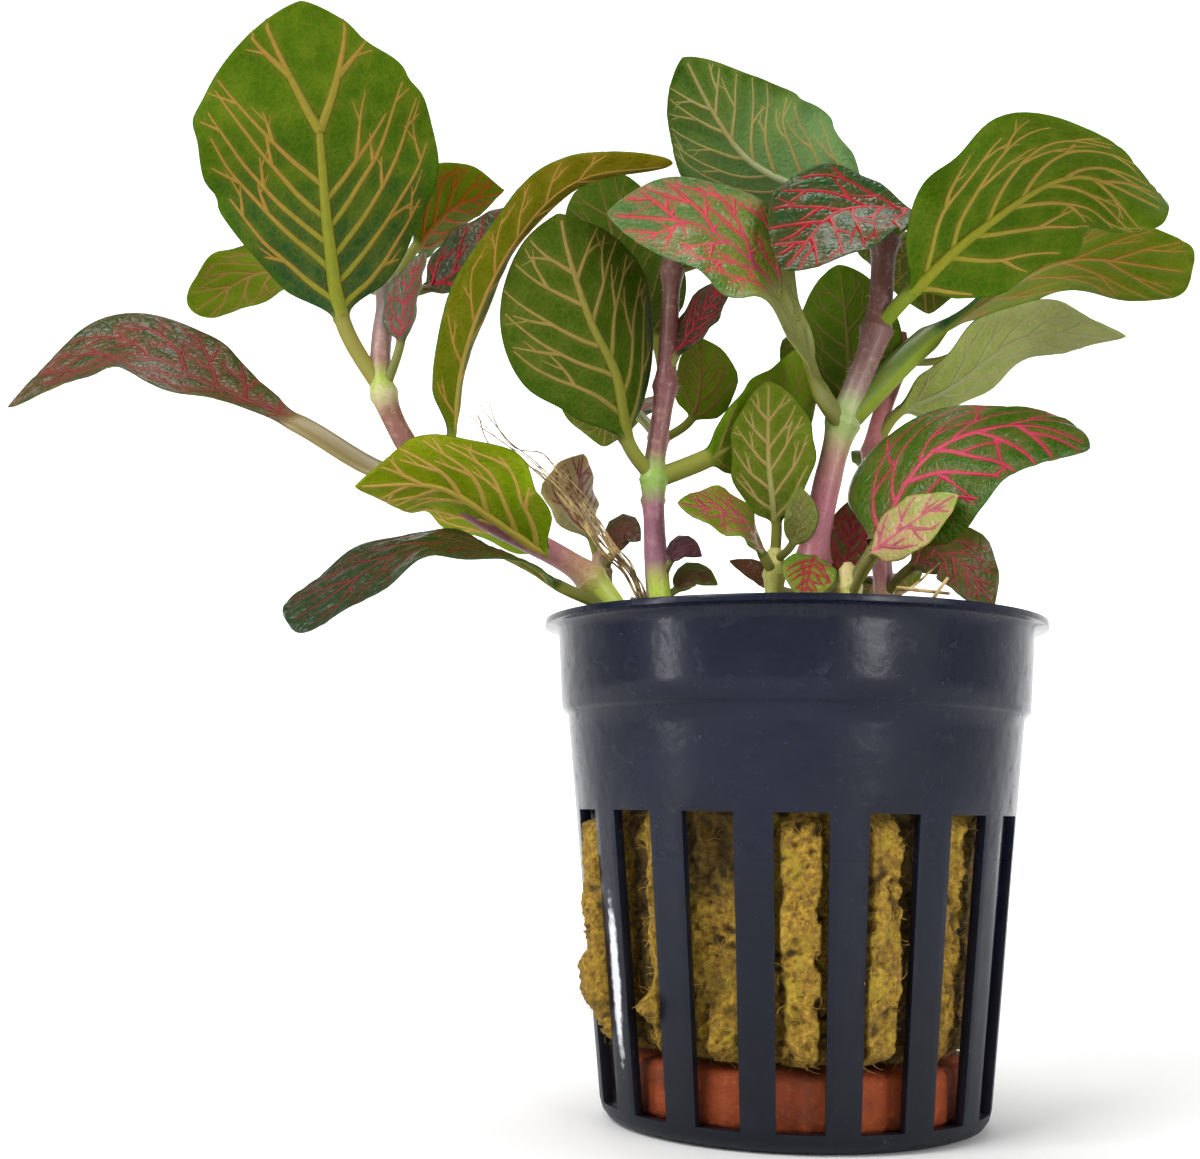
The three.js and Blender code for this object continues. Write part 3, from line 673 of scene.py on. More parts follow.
wool = {
    "top": 43.5, "bottom": 7.3, "inset": 2.5, "columns": 480, "rows": 170,
    "lumpSize": 2.6, "lumpDepth": 0.7, "poreSize": 0.8, "poreGroups": 3.3, "poreDepth": 0.5,
    "raggedSize": 2.2, "slotSoft": 0.6, "slotSoftEnds": 1.5,
    # the block draws in by brink at its ends, and stands out no further than these
    "brink": 1.2, "brinkPart": 0.03, "mostBehindWall": 1.1, "mostInSlot": 4,
    # how far the wool pushes out through each slot, counted from the slot in front: (height, reach)
    "bulges": {
        0: [(7, 1.6), (18, 2.2), (29, 1.5)], 1: [(7, 0.2), (9, 2.6), (18, 3), (29, 1.6)],
        2: [(7, 0.9), (29, 1.3)], 3: [(7, -1), (29, -1)],
        13: [(7, 1.5), (9, 3), (13.7, 4.6), (17, 3.6), (24, 3), (29, 2.2)],
        14: [(7, 0.8), (10, 1.4), (11.5, 3.8), (13.5, 1), (20, 0.9), (29, 0.6)],
        15: [(7, 0.8), (18, 0.3), (23, -0.8), (29, -1)],
    },
    "plainBulge": [(7, 0.4), (29, 0.4)],
    # wool that leans to one side of its slot, and ends before the slot's edge: (lean, last share)
    "leans": {1: (-0.8, 0.5), 14: (1.8, 9)}, "plainLean": (0, 9), "cutDepth": 4, "cutSoft": 0.15,
    # rings of the flat ends, as shares of the radius, and how lumpy the top is
    "capRings": (0.9, 0.75, 0.55, 0.35, 0.15), "capLump": 0.9, "capLumpSize": 2.5, "capPoreShade": 0.3,
}
looseFibres = {"density": 0.4, "length": 1.1, "thickness": 0.025}


def slotShare(angle, height, wander):
    # which slot an angle lies in, how well inside its opening (0 to 1) and where across it (-1 to 1)
    apart = 360 / pot["slots"]
    turn = math.degrees(angle) - pot["slotTurn"]
    number = round(turn / apart) % pot["slots"]
    off = math.radians(turn - apart * round(turn / apart))
    radius = wallRadius(height)
    half = slotHalfAngle(radius, max(height, pot["slotBottom"]), number)
    edge = (half - abs(off)) * radius - wander
    up = min(height - pot["slotBottom"], pot["slotTop"] - height)
    inside = smoothStep(edge / wool["slotSoft"]) * smoothStep(up / wool["slotSoftEnds"])
    return number, float(inside), off / half


def woolSpot(radius, angle, height, end):
    # how far the wool stands out here, and how dark it is painted: painted shade in its pores, in its dents
    # and where it sits back in a slot
    spot = Vector(around(radius, angle, height))
    rough = noise.fractal(spot / wool["lumpSize"], 0.75, 2.2, 6) - 0.2
    hole = noise.noise(spot / wool["poreSize"] + Vector((9, 2, 5)))
    hole += 0.5 * noise.noise(spot / wool["poreGroups"])
    pore = float(smoothStep((hole - 0.3) / 0.3))
    ragged = noise.fractal(spot / wool["raggedSize"] + Vector((3, 8, 1)), 0.8, 2.1, 3)
    number, inside, across = slotShare(angle, height, max(0, ragged - 0.1))
    bulge = wool["bulges"].get(number, wool["plainBulge"])
    reach = float(np.interp(height, *zip(*bulge)))
    lean, last = wool["leans"].get(number, wool["plainLean"])
    last += 0.25 * noise.noise(Vector((height / 2.5, number, 4)))
    cut = float(smoothStep((across - last) / wool["cutSoft"]))
    reach = reach + lean * across - wool["cutDepth"] * cut
    out = inside * reach + wool["lumpDepth"] * rough - wool["poreDepth"] * pore
    out -= wool["brink"] * (1 - smoothStep(end / wool["brinkPart"]))
    out = min(out, wool["mostBehindWall"] + inside * wool["mostInSlot"])
    # painted shade: darker in the dents of the surface and where the wool sits back from the slot
    hollow = float(smoothStep((-rough - 0.1) / 0.6))
    deep = float(smoothStep((0.3 - reach) / 1.5))
    return out, pore * 0.6 + hollow * 0.4 + 0.7 * deep


def buildWool():
    columns, rows = wool["columns"], wool["rows"]
    points, poreShades = [], []
    for i, height in enumerate(np.linspace(wool["bottom"], wool["top"], rows)):
        radius = wallRadius(height) - wool["inset"]
        for k in range(columns):
            angle = 2 * math.pi * k / columns
            out, dark = woolSpot(radius, angle, height, min(i, rows - 1 - i) / rows)
            points.append(around(radius + out, angle, height))
            poreShades.append(dark)
    faces = ringFaces(range(0, rows * columns, columns), columns)
    for start, lump in ((0, 0), ((rows - 1) * columns, wool["capLump"])):
        rings = [start]
        for share in wool["capRings"]:
            rings.append(len(points))
            for x, y, z in points[start:start + columns]:
                spot = Vector((x * share, y * share, z))
                z += lump * noise.fractal(spot / wool["capLumpSize"], 0.7, 2.2, 4)
                points.append((x * share, y * share, z))
                poreShades.append(wool["capPoreShade"])
        faces += ringFaces(rings, columns, rings[-1:])
    piece = makeObject("wool_block", points, [], faces, [mineralWool()])
    giveValues(piece.data, "pore", poreShades)
    facingOut(piece)
    smooth(piece)
    handOver(piece, "mineral_wool", "rockwool")
    return piece


def buildFibres(block, tree):
    fibres = makeObject("wool_fibres", [], [], [])
    fibres.data = block.data.copy()
    grow(fibres, tree, {
        "Fibre density": looseFibres["density"] / mm ** 2, "Fibre length": looseFibres["length"] * mm,
        "Thickness": looseFibres["thickness"], "Seed": 4,
        "Fibre skin": strandSkin("woolFibre", tint(128, 98, 34), tint(196, 164, 72)),
    })
    handOver(fibres, "mineral_wool")


# Fired clay weight

clay = {
    "top": 6.7, "bottom": 1.3, "radius": 16.9, "flutes": 24, "depth": 0.5, "fluteColumns": 10,
    "unevenness": 0.12, "unevenSize": 1.5,
    # round the edge from below: share of the radius and of the height
    "profile": [(0.15, 0), (0.9, 0), (0.975, 0.04), (1, 0.14), (1, 0.35), (1, 0.65), (1, 0.86),
                (0.975, 0.96), (0.9, 1), (0.15, 1)],
}


def buildClay():
    columns = clay["flutes"] * clay["fluteColumns"]
    points = []
    for share, up in clay["profile"]:
        height = clay["bottom"] + (clay["top"] - clay["bottom"]) * up
        for k in range(columns):
            angle = 2 * math.pi * k / columns
            flute = abs(math.sin(clay["flutes"] * angle / 2)) ** 0.7
            radius = (clay["radius"] - clay["depth"] * (1 - flute)) * share
            spot = Vector(around(radius, angle, height))
            radius += clay["unevenness"] * noise.noise(spot / clay["unevenSize"]) * share
            points.append(around(radius, angle, height))
    starts = range(0, len(points), columns)
    faces = ringFaces(starts, columns, (starts[0], starts[-1]))
    piece = makeObject("clay_disc", points, [], faces, [firedClay()])
    facingOut(piece)
    smooth(piece)
    handOver(piece, "fired_clay", "clay_weight")


# Stems: skin rows are share of the height above the wool, red, green and blue

rootDepth = 30
stems = {
    "a": {
        "radii": [1.35, 1.0], "slot": "stem_mauve",
        "path": [[-16, -4.5, rootDepth], [-16.3, -4, 46], [-20, -5, 52], [-35, -7, 61],
                 [-41, -8, 70.5], [-42, -4, 82.5], [-42, -3, 86]],
        "skin": [(0, 160, 172, 60), (0.1, 150, 164, 60), (0.14, 138, 108, 72),
                 (0.2, 128, 74, 84), (0.4, 104, 62, 56), (0.55, 104, 66, 46),
                 (0.59, 150, 146, 100), (0.63, 126, 144, 44), (0.69, 122, 88, 80),
                 (0.85, 136, 116, 112), (1, 110, 110, 70)],
    },
    "b": {
        "radii": [1.25, 0.9], "slot": "stem_mauve",
        "path": [[-11, -2.5, rootDepth], [-13, -3, 48], [-14, -3, 62.5], [-13, -2, 72.5],
                 [-12.5, -1, 85], [-12.3, -0.5, 89]],
        "skin": [(0.1, 150, 172, 50), (0.13, 150, 150, 70), (0.17, 128, 84, 100),
                 (0.3, 124, 76, 92), (0.35, 110, 140, 56), (0.39, 112, 136, 58),
                 (0.44, 104, 62, 60), (0.7, 92, 52, 50), (1, 104, 70, 60)],
    },
    "c": {
        "radii": [1.6, 1.2], "slot": "stem_mauve",
        "path": [[2, 0.5, rootDepth], [2, -0.5, 48], [2, -1, 54.5], [5, -1, 68.5], [8.5, 0, 78.5],
                 [9.5, 1, 88.5], [9.8, 1.3, 92]],
        "skin": [(0, 150, 150, 76), (0.07, 150, 90, 96), (0.3, 166, 98, 110),
                 (0.4, 150, 112, 96), (0.46, 124, 144, 76), (0.52, 130, 140, 90),
                 (0.56, 112, 88, 80), (0.61, 96, 66, 58), (0.8, 84, 50, 42),
                 (1, 84, 48, 40)],
    },
    "d": {
        "radii": [1.0, 0.9], "slot": "stem_lime",
        "path": [[6.5, -7, rootDepth], [6, -6.5, 46], [5.5, -6, 51], [5.3, -6, 53.5]],
        "skin": [(0, 166, 180, 60), (1, 180, 160, 110)],
    },
    "e": {
        "radii": [1.2, 0.9], "slot": "stem_mauve",
        "path": [[9.5, 6.5, rootDepth], [9.5, 7, 52], [8.5, 7, 67.5], [11.5, 10, 78], [12, 10.8, 81.5]],
        "skin": [(0, 156, 160, 70), (0.2, 150, 92, 100), (1, 140, 76, 70)],
    },
    "f": {
        "radii": [1.2, 0.9], "slot": "stem_mauve",
        "path": [[-11, 7, rootDepth], [-14.5, 8, 51.5], [-15, 8, 62.5], [-14.5, 8.5, 69.5],
                 [-14.3, 9, 72.5]],
        "skin": [(0, 156, 160, 70), (0.3, 142, 96, 84), (1, 140, 90, 76)],
    },
    "g": {
        "radii": [1.0, 0.85], "slot": "stem_mauve",
        "path": [[-16.5, 3.5, rootDepth], [-18, 4, 46], [-20, 4, 54], [-20.2, 4.2, 56.5]],
        "skin": [(0, 150, 150, 70), (1, 138, 104, 86)],
    },
    "h": {
        "radii": [0.95, 0.85], "slot": "stem_lime",
        "path": [[-2.5, -6, rootDepth], [-2, -5, 46], [-1.8, -4.5, 52.5], [-1.7, -4.3, 55.5]],
        "skin": [(0, 170, 182, 64), (1, 176, 170, 96)],
    },
}
stemForm = {
    "rings": 150, "sides": 20, "visibleFrom": 47, "wander": 0.04, "wanderSize": 2,
    # each node swells over its reach and has a narrow ridge, and the tip closes
    "swelling": 0.28, "reach": 1.4, "ridge": 0.12, "ridgeReach": 0.35, "tipFrom": 0.97, "tipLoss": 0.55,
    "hairDensity": 0.9, "hairLength": 0.42,
}


def pathObject(name, lines):
    # lines are (points, thicknesses, colours) and become one mesh of edges
    points, edges, thick, skin = [], [], [], []
    for line, widths, colours in lines:
        start = len(points)
        points += [tuple(point) for point in line]
        thick += [width * mm for width in widths]
        skin += [tuple(colour) for colour in colours]
        edges += [(start + k, start + k + 1) for k in range(len(line) - 1)]
    piece = makeObject(name, points, edges, [])
    giveValues(piece.data, "thick", thick)
    layer = piece.data.attributes.new("skin", "FLOAT_COLOR", "POINT")
    layer.data.foreach_set("color", np.array(skin, dtype=np.float32).ravel())
    return piece


def blendStops(stops, share):
    places = [stop[0] for stop in stops]
    colours = zip(*[tint(*stop[1:]) for stop in stops])
    return [float(np.interp(share, places, channel)) for channel in colours]


def buildStems(tree, skin, down):
    for key, stem in stems.items():
        points = evenPoints(splinePoints(stem["path"]), np.linspace(0, 1, stemForm["rings"]))[0]
        nodes = np.array(stem["path"][2:-1], float)
        foot, top = stemForm["visibleFrom"], stem["path"][-1][2]
        thick, thin = stem["radii"]
        widths, colours = [], []
        for k, point in enumerate(points):
            share = k / (len(points) - 1)
            width = thick + (thin - thick) * share
            nearest = np.linalg.norm(nodes - point, axis=1).min()
            width *= 1 + stemForm["swelling"] * math.exp(-((nearest / stemForm["reach"]) ** 2))
            width *= 1 + stemForm["ridge"] * math.exp(-((nearest / stemForm["ridgeReach"]) ** 2))
            width *= 1 + stemForm["wander"] * noise.noise(Vector(point) / stemForm["wanderSize"])
            tip = float(smoothStep((share - stemForm["tipFrom"]) / (1 - stemForm["tipFrom"])))
            widths.append(width * (1 - stemForm["tipLoss"] * tip))
            colours.append(blendStops(stem["skin"], (point[2] - foot) / (top - foot)))
        piece = pathObject("stalk_" + key, [(points, widths, colours)])
        grow(piece, tree, {
            "Sides": stemForm["sides"], "Skin": skin, "Hair skin": down, "Seed": 3,
            "Hair density": stemForm["hairDensity"] / mm ** 2,
            "Hair length": stemForm["hairLength"] * mm,
        })
        handOver(piece, stem["slot"], "stem_" + key)


# Dry roots and straw

dryRoots = {
    "path": [[-13.2, 1, 38], [-14.6, 0.5, 48], [-16.5, 0, 53.5], [-19.5, -0.5, 57], [-24, -1, 63],
             [-29, -1.5, 66.5], [-32, -2, 70]],
    "strands": 16, "spread": 0.5, "radius": 0.1, "steps": 60, "wholeStrands": 5, "taper": 0.6,
    "swaySize": 5, "sway": (0.3, 1.3), "sides": 6,
    # loose straw on the wool
    "bits": [[[7.5, -13.5, 48.6], [10.5, -13, 49.8], [13.5, -13, 52.4]],
             [[9.5, -13.4, 50], [14.4, -12.4, 49.6]], [[12.4, -13.5, 48.4], [14.2, -13, 51]]],
    "bitRadius": 0.22, "bitTaper": 0.0015,
}


def buildDryRoots(tree, straw):
    rng = random.Random(5)
    points = evenPoints(splinePoints(dryRoots["path"]), np.linspace(0, 1, dryRoots["steps"]))[0]
    calm, wild = dryRoots["sway"]
    lines = []
    for number in range(dryRoots["strands"]):
        first = rng.uniform(0, 0.25)
        last = rng.uniform(0.5, 1) if number >= dryRoots["wholeStrands"] else 1
        shift = Vector([rng.uniform(-1, 1) for k in range(3)]) * dryRoots["spread"]
        line = []
        for k, point in enumerate(points):
            share = k / (len(points) - 1)
            if first <= share <= last:
                sway = noise.noise_vector(Vector(point) / dryRoots["swaySize"] + shift * 9)
                line.append(Vector(point) + shift * (0.4 + share) + sway * (calm + wild * share))
        radius = dryRoots["radius"] * rng.uniform(0.5, 1.6)
        widths = [radius * (1 - dryRoots["taper"] * k / len(line)) for k in range(len(line))]
        lines.append((line, widths))
    for path in dryRoots["bits"]:
        line = [Vector(point) for point in splinePoints(path)]
        widths = [dryRoots["bitRadius"] - dryRoots["bitTaper"] * k for k in range(len(line))]
        lines.append((line, widths))
    # the straw material has its own colour, so the skin value only fills its place
    lines = [(line, widths, [(0, 0, 0, 1)] * len(line)) for line, widths in lines]
    piece = pathObject("dry_strands", lines)
    grow(piece, tree, {
        "Sides": dryRoots["sides"], "Hair density": 0.0, "Hair length": 0.1 * mm, "Seed": 2,
        "Skin": straw, "Hair skin": straw,
    })
    handOver(piece, "dry_root", "dry_roots")


# Leaves. The path runs from the stem over the stalk to the tip, facing is the azimuth and elevation
# that the upper face looks to, and these and the other shape values repeat the CAD's. seen is the
# face that the photo shows, green its colour at the stalk and at the tip, and veinTint the colour of
# its thick and of its thin veins. haze is how far the veins' colour clouds the green, and ruddy how
# red the stalk is, bare up to bareTo.
# stalkSize is the stalk's (width, height) as shares of the plain one, and stalkSteps how many parts of
# the path it takes. folds lift the (right, left) half, lean makes one half wider, and widest and point
# shape the outline. neck narrows the blade up to that share, notches are (side, place, depth, length),
# curl bends the tip down in mm, and relax smooths the sheet that many times. veins is the number of
# side veins in each half, loops how densely finer ones leave them, ribEnd where the midrib forks or
# ends, quilt how far the cells puff up in mm, and cell the size of the mesh's faces in mm.

leafDefaults = {
    "seen": "under", "slot": "leaf_blade", "haze": 0.12, "ruddy": 0.2, "stalkSteps": 1,
    "stalkSize": [1, 1], "bareTo": 0.02, "folds": [10, 10], "twist": 0, "lean": 0, "widest": 0.45,
    "point": 0.8, "neck": 0, "notches": [], "curl": 0, "relax": 0, "veins": 5, "veinWidth": 1,
    "loops": 1, "ribEnd": 0.97, "quilt": 0.22, "cell": 0.4,
}
leaves = {
    "a3_front": {
        "green": [(42, 72, 40), (74, 104, 8)], "veinTint": [(126, 130, 40), (152, 122, 52)],
        "ruddy": 0.3,
        "path": [[-41, -8, 70.5], [-45.5, -8, 78], [-46.5, -10, 86], [-47, -13, 94.5],
                 [-48.5, -17, 108.4]],
        "facing": [120, 15], "width": 24.8, "folds": [6, 6], "lean": -0.02, "widest": 0.56,
        "point": 0.72,
        "notches": [(-1, 0.75, 0.05, 0.03), (-1, 0.88, 0.12, 0.04), (1, 0.42, 0.05, 0.03),
                    (1, 0.66, -0.05, 0.05)],
        "veinWidth": 1.15, "ribEnd": 0.6, "quilt": 0.15,
    },
    "a3_small": {
        "seen": "upper", "slot": "leaf_small", "green": [(74, 84, 62), (70, 84, 60)],
        "veinTint": [(200, 60, 84), (180, 60, 74)], "haze": 0.05,
        "path": [[-41, -8, 70.5], [-39.3, -8.7, 75.5], [-38.8, -9, 80.5], [-37, -9, 85]],
        "facing": [-130, 10], "width": 6.5, "veinWidth": 1.3, "loops": 0.4,
    },
    "a2_left": {
        "seen": "upper", "green": [(58, 66, 26), (42, 66, 28)],
        "veinTint": [(130, 54, 52), (146, 58, 56)], "haze": 0.24, "ruddy": 0.4,
        "path": [[-35, -7, 61], [-42.5, -5, 63.5], [-51, -4, 68.5], [-61.5, -2, 73.3],
                 [-71.5, -1, 77.1], [-84, -2, 71.2]],
        "stalkSteps": 2, "stalkSize": [2.5, 0.9], "facing": [-75, 45], "width": 13.5, "folds": [15, 15],
        "twist": -6, "widest": 0.6, "point": 1, "veins": 7, "veinWidth": 1.2,
    },
    "a2_right": {
        "green": [(98, 112, 38), (104, 98, 28)], "veinTint": [(168, 160, 70), (172, 136, 60)],
        "path": [[-35, -7, 61], [-34, -8, 65.5], [-32.8, -9, 74], [-28.3, -10, 84.5],
                 [-22, -9, 92], [-12, -8, 94]],
        "facing": [165, 30], "width": 7.6, "folds": [20, 20], "twist": 5, "lean": 0.05, "widest": 0.36,
        "point": 0.5, "veins": 7, "veinWidth": 1.3,
    },
    "a1_front": {
        "green": [(118, 150, 30), (130, 146, 36)], "veinTint": [(184, 166, 66), (196, 162, 80)],
        "path": [[-20, -5, 52], [-24, -6, 54.3], [-28.5, -8, 57.3], [-34, -11, 60.3], [-42, -14, 59.8]],
        "facing": [70, 60], "width": 15.5, "folds": [6, 6], "twist": 14, "lean": -0.1, "widest": 0.48,
        "point": 0.9, "veinWidth": 1.6,
    },
    "a1_low": {
        "seen": "upper", "green": [(50, 68, 30), (32, 54, 26)],
        "veinTint": [(116, 60, 44), (124, 52, 40)], "haze": 0.04,
        "path": [[-18.4, -4.6, 49.3], [-22.5, -8.3, 50.8], [-27.5, -12.3, 53.4],
                 [-35, -15, 53.9], [-46.8, -18, 46]],
        "facing": [-105, 60], "width": 13.5, "folds": [-5, 3], "twist": -28, "lean": 0.1, "widest": 0.42,
        "point": 0.25, "veins": 6, "veinWidth": 1.1,
    },
    "a4_right": {
        "seen": "upper", "green": [(34, 62, 28), (40, 66, 28)],
        "veinTint": [(196, 30, 44), (180, 40, 50)],
        "path": [[-42, -4, 82.5], [-38.5, -3, 83], [-33, -3, 86.5], [-27.5, -4, 91.5]],
        "facing": [-110, 20], "width": 8.5, "folds": [15, 15], "veins": 4, "veinWidth": 2, "loops": 0.45,
    },
    "a4_left": {
        "green": [(122, 140, 48), (106, 130, 36)], "veinTint": [(150, 140, 56), (160, 130, 60)],
        "path": [[-42, -4, 82.5], [-50, 1, 85.5], [-58.5, 4, 88], [-67, 6, 84]], "facing": [100, 80],
        "width": 11, "folds": [2, 2], "twist": 16, "point": 0.45, "veinWidth": 1.3,
    },
    "a4_back": {
        "green": [(74, 100, 10), (90, 116, 12)], "veinTint": [(140, 92, 24), (150, 82, 20)],
        "path": [[-42, -4, 82.5], [-40.5, 1, 89], [-36.5, 4, 95], [-31.8, 6, 97.3]], "facing": [160, 35],
        "width": 11, "folds": [15, 15], "point": 1, "veinWidth": 1.5,
    },
    "b1_left": {
        "green": [(54, 80, 18), (58, 78, 18)], "veinTint": [(122, 122, 44), (136, 118, 60)],
        "path": [[-14, -3, 62.5], [-16.5, -5, 66], [-17.5, -7, 72.5], [-20, -9, 77.5],
                 [-22.5, -11, 84.5], [-23, -12, 87.5]],
        "facing": [115, 5], "width": 20.5, "folds": [11, 30], "twist": -50, "lean": -0.05, "widest": 0.5,
        "point": 0.6, "relax": 40, "veinWidth": 1.15,
    },
    "b1_right": {
        "green": [(84, 114, 28), (100, 130, 38)], "veinTint": [(120, 126, 50), (130, 116, 56)],
        "path": [[-14, -3, 62.5], [-9, -0.8, 65], [-3.5, 1.2, 68.3], [0, 2, 72.5], [1.5, 2.3, 78]],
        "stalkSize": [1.9, 1.9], "facing": [130, 15], "width": 9.6, "folds": [8, 8], "widest": 0.5,
    },
    "b2_left": {
        "green": [(54, 71, 18), (60, 82, 22)], "veinTint": [(80, 90, 30), (96, 90, 36)],
        "path": [[-13, -2, 72.5], [-14.5, 3.8, 79], [-18, 5.5, 86.5], [-21.5, 6.5, 98.5]],
        "facing": [85, 8], "width": 13, "folds": [5, 5], "point": 0.3, "veins": 6,
    },
    "b2_right": {
        "seen": "upper", "slot": "leaf_small", "green": [(38, 50, 28), (46, 60, 34)],
        "veinTint": [(184, 50, 74), (160, 50, 60)],
        "path": [[-13, -2, 72.5], [-12, -2.3, 75.5], [-9, -3, 80], [-6, -5, 83]], "facing": [-130, 15],
        "width": 6, "folds": [4, 4], "twist": 13, "veinWidth": 2, "loops": 0.45,
    },
    "h1_up": {
        "green": [(74, 90, 32), (82, 102, 28)], "veinTint": [(142, 142, 82), (148, 130, 74)],
        "path": [[-1.8, -4.5, 54], [-1.6, -4.2, 57.5], [-2.3, -4, 65], [-2.5, -4, 72.3]],
        "facing": [60, 0], "width": 10, "folds": [5, 5], "twist": 12, "widest": 0.5, "point": 0.65,
        "veinWidth": 1.4,
    },
    "h1_left": {
        "seen": "upper", "green": [(84, 118, 44), (100, 124, 40)],
        "veinTint": [(206, 76, 116), (190, 86, 88)],
        "path": [[-1.8, -4.5, 52.4], [-2.9, -6.3, 54.2], [-5, -8.5, 57.4], [-11, -11, 58.6]],
        "facing": [-55, 45], "width": 9, "folds": [2, 2], "twist": -18, "widest": 0.4, "veinWidth": 1.8,
        "loops": 0.5,
    },
    "c0_down": {
        "seen": "upper", "slot": "leaf_small", "green": [(90, 130, 54), (104, 140, 54)],
        "veinTint": [(196, 60, 74), (186, 70, 64)],
        "path": [[2, -1, 53], [2, -5, 54], [1.5, -7, 52], [1, -8, 49.5]], "facing": [-80, 25],
        "width": 5.5, "veinWidth": 1.6, "loops": 0.4,
    },
    "c1_left": {
        "seen": "upper", "green": [(114, 130, 40), (60, 108, 56)],
        "veinTint": [(210, 62, 112), (220, 84, 88)], "haze": 0.15,
        "path": [[5, -1, 68.5], [3, -3, 71], [0.5, -5, 76.5], [-3, -7, 82.5], [-9, -10, 86.5],
                 [-18, -13, 87]],
        "stalkSize": [2.4, 1.3], "bareTo": 0.4, "facing": [-45, 20], "width": 16.5, "folds": [12, 12],
        "twist": -35, "lean": -0.15, "point": 0.7, "neck": 0.25, "veins": 6, "veinWidth": 1.8,
        "quilt": 0.3,
    },
    "c1_right": {
        "green": [(132, 148, 66), (90, 114, 12)], "veinTint": [(156, 154, 76), (172, 126, 52)],
        "ruddy": 0,
        "path": [[5, -1, 68.5], [13.9, 5, 78.9], [20.7, 9.1, 84.5], [30.2, 11.3, 89.7],
                 [42.5, 9.5, 87.5]],
        "stalkSize": [2.4, 2], "facing": [170, 65], "width": 17.6, "folds": [0, 0], "twist": -32,
        "lean": -0.05, "point": 0.25, "veins": 6,
    },
    "c1_back": {
        "green": [(60, 80, 14), (72, 98, 22)], "veinTint": [(90, 96, 34), (100, 96, 40)],
        "path": [[5, -1, 68.5], [5.8, 3.5, 71.5], [6, 5.3, 77.5], [5.5, 5.5, 82.5], [4.8, 5.2, 87.5]],
        "facing": [85, 5], "width": 11.5, "folds": [12, 12], "widest": 0.5, "point": 0.6,
    },
    "c2_right": {
        "green": [(66, 100, 20), (82, 114, 12)], "veinTint": [(144, 146, 42), (172, 146, 66)],
        "ruddy": 0,
        "path": [[8.5, 0, 78.5], [11.5, -2, 81.5], [18.5, -4, 87.5], [27.5, -7, 92], [36, -9, 87.5]],
        "facing": [135, 60], "width": 22.5, "folds": [-2, -16], "twist": 38, "lean": 0.15,
        "widest": 0.56, "point": 0.35, "veins": 6, "veinWidth": 1.2,
    },
    "c3_back": {
        # its pale green towards the stalk and its pale veins are painted sheen
        "green": [(112, 144, 96), (60, 86, 30)], "veinTint": [(160, 170, 126), (144, 134, 78)],
        "path": [[9.5, 1, 88.5], [8, 1.5, 92.5], [1.5, 2, 95], [-4.5, 1, 97.9],
                 [-8.5, -1, 102.5], [-11.5, -3, 107.7]],
        "facing": [70, 40], "width": 18, "folds": [21, 21], "twist": 25, "lean": 0.08, "widest": 0.47,
        "point": 0.7, "veins": 7, "quilt": 0.45,
    },
    "c3_front": {
        "seen": "upper", "green": [(26, 72, 30), (20, 64, 24)],
        "veinTint": [(190, 28, 44), (176, 42, 44)],
        "path": [[9.5, 1, 88.5], [12, -0.5, 90.6], [5, -5, 89.6], [-1, -11, 81.6]], "facing": [-80, 35],
        "width": 14.2, "folds": [14, 14], "twist": -10, "lean": -0.1, "widest": 0.42, "point": 0.65,
        "veinWidth": 2.2, "loops": 0.6, "quilt": 0.28,
    },
    "d1_big": {
        "seen": "upper", "green": [(60, 98, 30), (42, 88, 28)],
        "veinTint": [(218, 84, 108), (208, 56, 86)],
        "path": [[5.5, -6, 51], [7.8, -7.5, 54.5], [10.4, -9.1, 60.5], [13.6, -9.9, 64],
                 [19.5, -10.7, 65.7], [27.3, -12.5, 64.6]],
        "facing": [-130, 35], "width": 20, "folds": [-10, -12], "twist": -25, "lean": -0.04,
        "widest": 0.38, "point": 0.45, "curl": 1.5, "relax": 30, "veinWidth": 1.9, "loops": 0.4,
        "quilt": 0.3,
    },
    "d1_small": {
        "seen": "upper", "slot": "leaf_small", "green": [(164, 156, 104), (134, 160, 74)],
        "veinTint": [(226, 104, 132), (206, 110, 120)], "haze": 0.3,
        "path": [[5.6, -6.3, 50.2], [7.5, -11.3, 53.5], [11, -14, 56], [15, -15.5, 58.3]],
        "facing": [-125, 15], "width": 6, "folds": [3, 3], "lean": 0.05, "veins": 3, "veinWidth": 1.8,
        "loops": 0.35,
    },
    "e0_low": {
        "seen": "upper", "green": [(90, 88, 40), (70, 92, 36)],
        "veinTint": [(190, 96, 90), (180, 84, 84)], "haze": 0.1,
        "path": [[9.5, 7, 52], [12, 4, 54.5], [15.5, 3, 55.8], [20.3, 3, 50.3]], "facing": [-70, 20],
        "width": 8, "folds": [12, 12], "twist": 13, "veinWidth": 1.6, "loops": 0.6,
    },
    "e1_right": {
        "green": [(140, 152, 84), (146, 152, 100)], "veinTint": [(144, 152, 98), (150, 148, 98)],
        "path": [[8.5, 7, 67.5], [11, 7, 71.5], [16, 7, 74], [25, 7, 80], [34.5, 5, 79]],
        "facing": [145, 50], "width": 12.5, "folds": [5, 5], "point": 0.9, "veins": 6,
    },
    "e2_right": {
        "slot": "leaf_small", "green": [(72, 92, 30), (80, 98, 34)],
        "veinTint": [(128, 130, 45), (150, 125, 60)],
        "path": [[11.5, 10, 78], [17, 18, 80.5], [25, 24.5, 86], [33, 27, 86.5]], "facing": [125, 60],
        "width": 5, "folds": [4, 4],
    },
    "f2_front": {
        "green": [(98, 122, 44), (92, 120, 34)], "veinTint": [(128, 114, 56), (136, 108, 54)],
